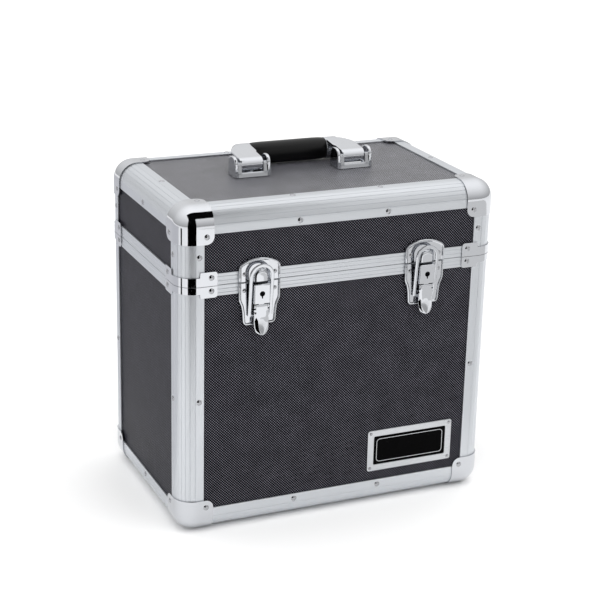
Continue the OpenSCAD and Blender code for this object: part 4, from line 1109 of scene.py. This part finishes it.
outer, window = rounded_rectangle(51.5, 24.0, 2.6), rounded_rectangle(44.0, 16.8, 1.6)
frame_rings = (plate_rings(outer, ((0, 0.1), (0, 1.2), (0.12, 1.48), (0.45, 1.6), (0.9, 1.6)))
               + plate_rings(window, ((-0.8, 1.6), (-0.4, 1.6), (-0.1, 1.48), (0, 1.2), (0, 0.1))))
make_piece("nameplate_frame_brushed", loft(Shape(), frame_rings, joined=True), "body", brushed_plate,
           "plate_metal", ("nameplate_frame",), sharp=60)
insert_rings = plate_rings(rounded_rectangle(43.8, 16.6, 1.4), ((0, 0.1), (0, 0.9), (0.2, 1.1), (0.6, 1.1)))
make_piece("nameplate_insert_plain", loft(Shape(), insert_rings), "body", insert_plastic, "plate_black",
           ("nameplate_insert",), sharp=60)
line_out, line_in = rounded_rectangle(40.6, 13.6, 4.0), rounded_rectangle(40.0, 13.0, 3.4)
line_rings = [at_plate(loop, out) for loop, out in
              ((line_out, 1.0), (line_out, 1.2), (line_in, 1.2), (line_in, 1.0))]
make_piece("nameplate_fine_line", loft(Shape(), line_rings, joined=True), "body", brushed_plate,
           "plate_metal", ("nameplate_insert",), sharp=60)
places = [(PLATE_X + i * 48.0, -HALF_D + PANEL - 1.6, PLATE_Z + j * 20.5, 0, -1, 0)
          for i, j in QUARTERS]
rivet_heads("nameplate_rivet_heads", 1.9, 0.9, places, "body", "nameplate_rivets")
print("nameplate made")

# %% [markdown]
# Two butt hinges join lid and body behind. Each leaf is a plate with soft corners, and its knuckles are
# short tubes with a tongue down to the leaf. The five knuckles of a hinge belong to the leaves in turn.

# %% Hinges
HINGE_X, HINGE_OUT, KNUCKLE_R = 95.0, 4.2, 3.6


def at_hinge(side, x, out, z):
    x, out, z = np.broadcast_arrays(x, out, z)
    return np.stack([side * HINGE_X + x, HALF_D + out, SEAM + z], -1)


def hinge_leaf(side, up, height, first):
    middle, half = up * (height + 4.2) / 2, (height - 4.2) / 2
    plan = rounded_rectangle(25.0, half, 3.0) + [0, middle]
    rings = []
    for depth, out in ((0, 0.1), (0, 1.3), (0.12, 1.52), (0.4, 1.6), (0.8, 1.6)):
        flat = inset_loop(plan, depth)
        rings.append(at_hinge(side, flat[:, 0], out, flat[:, 1]))
    shape = loft(Shape(), rings)
    around = full_turn(32)
    for i in range(first, 5, 2):
        x0, x1 = -25 + i * 10 + 0.2, -25 + i * 10 + 9.8
        tube = [(x0, 2.1), (x0, 3.3), (x0 + 0.3, KNUCKLE_R), (x1 - 0.3, KNUCKLE_R), (x1, 3.3), (x1, 2.1)]
        loft(shape, [at_hinge(side, x, HINGE_OUT + r * np.cos(around), r * np.sin(around)) for x, r in tube],
             joined=True)
        tongue = np.array([(0.1, 0.3), (2.2, 0.3), (2.2, 3.2), (1.6, 4.6), (1.6, 7.0), (0.1, 7.0)])
        loft(shape, [at_hinge(side, x, tongue[:, 0], up * tongue[:, 1]) for x in (x0, x1)])
    return shape


for side, label in SIDES:
    for up, height, first, body in ((1, 27.0, 1, "lid"), (-1, 38.0, 0, "body")):
        make_piece(label + "_hinge_" + body + "_plate", hinge_leaf(side, up, height, first), body,
                   hinge_plating, "hinge_steel", (label + "_hinge_" + body + "_leaf",), sharp=50)
for body, heights in (("lid", (8.0, 21.0)), ("body", (-8.0, -32.0))):
    places = [(s * HINGE_X + x, HALF_D + 1.6, SEAM + z, 0, 1, 0)
              for s in (-1, 1) for x in (-18, 18) for z in heights]
    rivet_heads("hinge_" + body + "_rivet_heads", 2.3, 1.2, places, body, "hinge_" + body + "_rivets")
dress(hinge_plating, "left_hinge_pin", "right_hinge_pin")
print("hinges made")

# %% [markdown]
# Foam pads line the floor and the lid. Cut foam keeps a flat seat, but its face crowns a little and its
# edges are soft where the blade squeezed it. Height falls to nothing at the rim by a high power of the
# distance from the middle, which is flat for most of the way and round at the very edge.

# %% Foam pads
def foam_shape(low, high, seat_low):
    """Faces z = middle +- half * f(s) f(t), f = (1 - |s|^20)^0.3, crowned on the side away from the seat."""
    s, t = np.meshgrid(*(np.sin(np.linspace(-1, 1, count) * math.pi / 2) for count in (61, 45)),
                       indexing="ij")
    full = ((1 - np.abs(s) ** 20) * (1 - np.abs(t) ** 20)) ** 0.3
    crown = 1.6 * (1 - s ** 2) * (1 - t ** 2) - 1.6
    x = (HALF_W - 10.4) * s * (1 - 0.006 * (1 - t ** 2))
    y = (HALF_D - 10.4) * t * (1 - 0.006 * (1 - s ** 2))
    middle, half = (low + high) / 2, (high - low) / 2
    top = middle + half * full + (crown * full if seat_low else 0)
    bottom = middle - half * full - (0 if seat_low else crown * full)
    shape = Shape()
    shape.add(np.stack([x, y, top], -1), grid_faces(*x.shape))
    shape.add(np.stack([x, y, bottom], -1), grid_faces(*x.shape)[:, ::-1])
    return shape


for node, body, low, high in (("floor_foam", "body", 11.2, 21.2), ("lid_foam", "lid", 334.4, 346.4)):
    pad = make_piece(node + "_pad", foam_shape(low, high, body == "body"), body, foam_skin, "foam", (node,),
                     sharp=80)
    join_seams(pad, 0.02)
print("foam pads made")

# %% [markdown]
# The camera is the photo's own, worked out from the case's edges and corners in the picture: a long
# lens, from the left and a little above, turned slightly about its own axis.

# %% Camera
AZIMUTH, ELEVATION, ROLL_ANGLE = -23.972, 19.301, 1.382      # degrees
ASIDE, UPWARDS, AWAY = 3.17, 22.82, 1811.3                   # mm from the case's middle, along its own axes
LENS = 96.89


def photo_camera():
    """Camera axes from azimuth, elevation and roll; the place is the target moved back along them."""
    azimuth, elevation, roll = (math.radians(angle) for angle in (AZIMUTH, ELEVATION, ROLL_ANGLE))
    back = np.array([math.sin(azimuth) * math.cos(elevation), -math.cos(azimuth) * math.cos(elevation),
                     math.sin(elevation)])
    right = np.array([math.cos(azimuth), math.sin(azimuth), 0.0])
    up = np.cross(back, right)
    right, up = (math.cos(roll) * right + math.sin(roll) * up, math.cos(roll) * up - math.sin(roll) * right)
    target = np.array([0.0, 0.0, 180.0 + BASE])
    place = target + ASIDE * right + UPWARDS * up + AWAY * back
    data = bpy.data.cameras.new("photo_camera")
    data.sensor_width, data.lens = 36.0, LENS
    camera = bpy.data.objects.new("photo_camera", data)
    bpy.context.scene.collection.objects.link(camera)
    matrix = Matrix.Identity(4)
    for column, axis in enumerate((right, up, back)):
        for row in range(3):
            matrix[row][column] = axis[row]
    matrix.translation = Vector(place * MM)
    camera.matrix_world = matrix
    bpy.context.scene.camera = camera
    return camera


camera = photo_camera()
print("camera at", [round(v, 3) for v in camera.location])

# %% [markdown]
# The surround is a soft gradient, brighter towards the top, and one soft box above adds to it. Polished
# metal shows what stands around it, so four dark and two grey cards, seen only in reflections, give the
# metal its bands. They are placed for the photo's view. Four white walls are seen by the camera alone.

# %% Floor, light and reflections
ROOM = 9000                          # half the floor's side and the walls' height, in mm


def stage_plane(name, corners, colour, roughness, seen_by="all", glow=0.0):
    """A flat card given by its four corners in millimetres. It is seen by 'all', by the 'metal' alone, where
    it only shows in reflections, or by the 'camera' alone. 'glow' makes it shine."""
    mesh = bpy.data.meshes.new(name)
    mesh.from_pydata((np.array(corners, float) * MM).tolist(), [], [[0, 1, 2, 3]])
    card = bpy.data.objects.new(name, mesh)
    bpy.context.scene.collection.objects.link(card)
    material = new_finish(name + "_paint", colour, roughness=roughness, Specular_IOR_Level=0.0,
                          Emission_Color=[1.0, 1.0, 1.0, 1.0], Emission_Strength=glow)[0]
    mesh.materials.append(material)
    if seen_by != "all":
        card.visible_diffuse = card.visible_shadow = False
        card.visible_camera, card.visible_glossy = seen_by == "camera", seen_by == "metal"
    card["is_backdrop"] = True
    return card


def soft_box(name, place, aim, width, height, watts):
    data = bpy.data.lights.new(name, "AREA")
    data.shape, data.size, data.size_y, data.energy = "RECTANGLE", width, height, watts
    lamp = bpy.data.objects.new(name, data)
    lamp.location = place
    lamp.rotation_euler = (Vector(aim) - Vector(place)).to_track_quat("-Z", "Y").to_euler()
    lamp.visible_glossy = False          # metal doesn't mirror it
    bpy.context.scene.collection.objects.link(lamp)
    return lamp


world = bpy.data.worlds.new("white_room")
bpy.context.scene.world = world
world.use_nodes = True
background = world.node_tree.nodes["Background"]
ways = add_node(world.node_tree, "ShaderNodeSeparateXYZ",
                Vector=add_node(world.node_tree, "ShaderNodeTexCoord").outputs["Generated"])
ahead = add_node(world.node_tree, "ShaderNodeMapRange", Value=ways.outputs["Y"], From_Min=-1.0, From_Max=1.0,
                 To_Min=0.5, To_Max=0.6)
above = add_node(world.node_tree, "ShaderNodeMapRange", Value=ways.outputs["Z"], To_Max=0.95)
both = add_node(world.node_tree, "ShaderNodeMath", {"operation": "ADD"}, _0=ahead.outputs[0],
                _1=above.outputs[0])
world.node_tree.links.new(both.outputs[0], background.inputs["Strength"])
background.inputs["Color"].default_value = (1.0, 1.0, 1.0, 1.0)
stage_plane("pale_floor", [(-ROOM, -ROOM, 0), (ROOM, -ROOM, 0), (ROOM, ROOM, 0), (-ROOM, ROOM, 0)],
            "#fcfcfc", 0.6)
soft_box("top_box", (0.3, -0.9, 2.2), (0, -0.1, 0.1), 2.2, 2.2, 15)
REFLECTED = {
    "dark_card_low": ("#000000", [(27, -1802, 1), (-101, -760, 1), (-606, -606, 1), (-1295, -1398, 1)]),
    "dark_strip_low": ("#000000", [(-1800, -580, 1), (-805, -294, 1), (-825, -194, 1), (-1900, -326, 1)]),
    "dark_card_high": ("#000000", [(-700, -808, 960), (262, -808, 960), (262, -254, 1262),
                                   (-700, -254, 1262)]),
    "dark_card_left": ("#000000", [(-950, -1000, 2), (-71, -1000, 2), (-71, -1000, 1150),
                                   (-950, -1000, 1150)]),
    "grey_card_right": ("#cecece", [(340, -1700, 1), (1500, -1700, 1), (1200, -200, 1), (240, -200, 1)]),
    "grey_card_rear": ("#c9c9cd", [(-3000, 0, 1), (-250, 0, 1), (-250, 3000, 1), (-3000, 3000, 1)]),
}
for name, (colour, corners) in REFLECTED.items():
    stage_plane(name, corners, colour, 0.9, seen_by="metal")
for side, (x, y) in {"front": (0, -1), "rear": (0, 1), "left": (-1, 0), "right": (1, 0)}.items():
    ends = [(ROOM * (x - y), ROOM * (y + x)), (ROOM * (x + y), ROOM * (y - x))]
    stage_plane("white_wall_" + side, [(*ends[0], 0), (*ends[1], 0), (*ends[1], ROOM), (*ends[0], ROOM)],
                "#ffffff", 0.9, seen_by="camera", glow=1.0)
bpy.context.scene.view_settings.view_transform = "Standard"
print("stage lit")

# %% Sizes and finish
low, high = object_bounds()
print("visual model spans", [round(v, 4) for v in low], "to", [round(v, 4) for v in high])
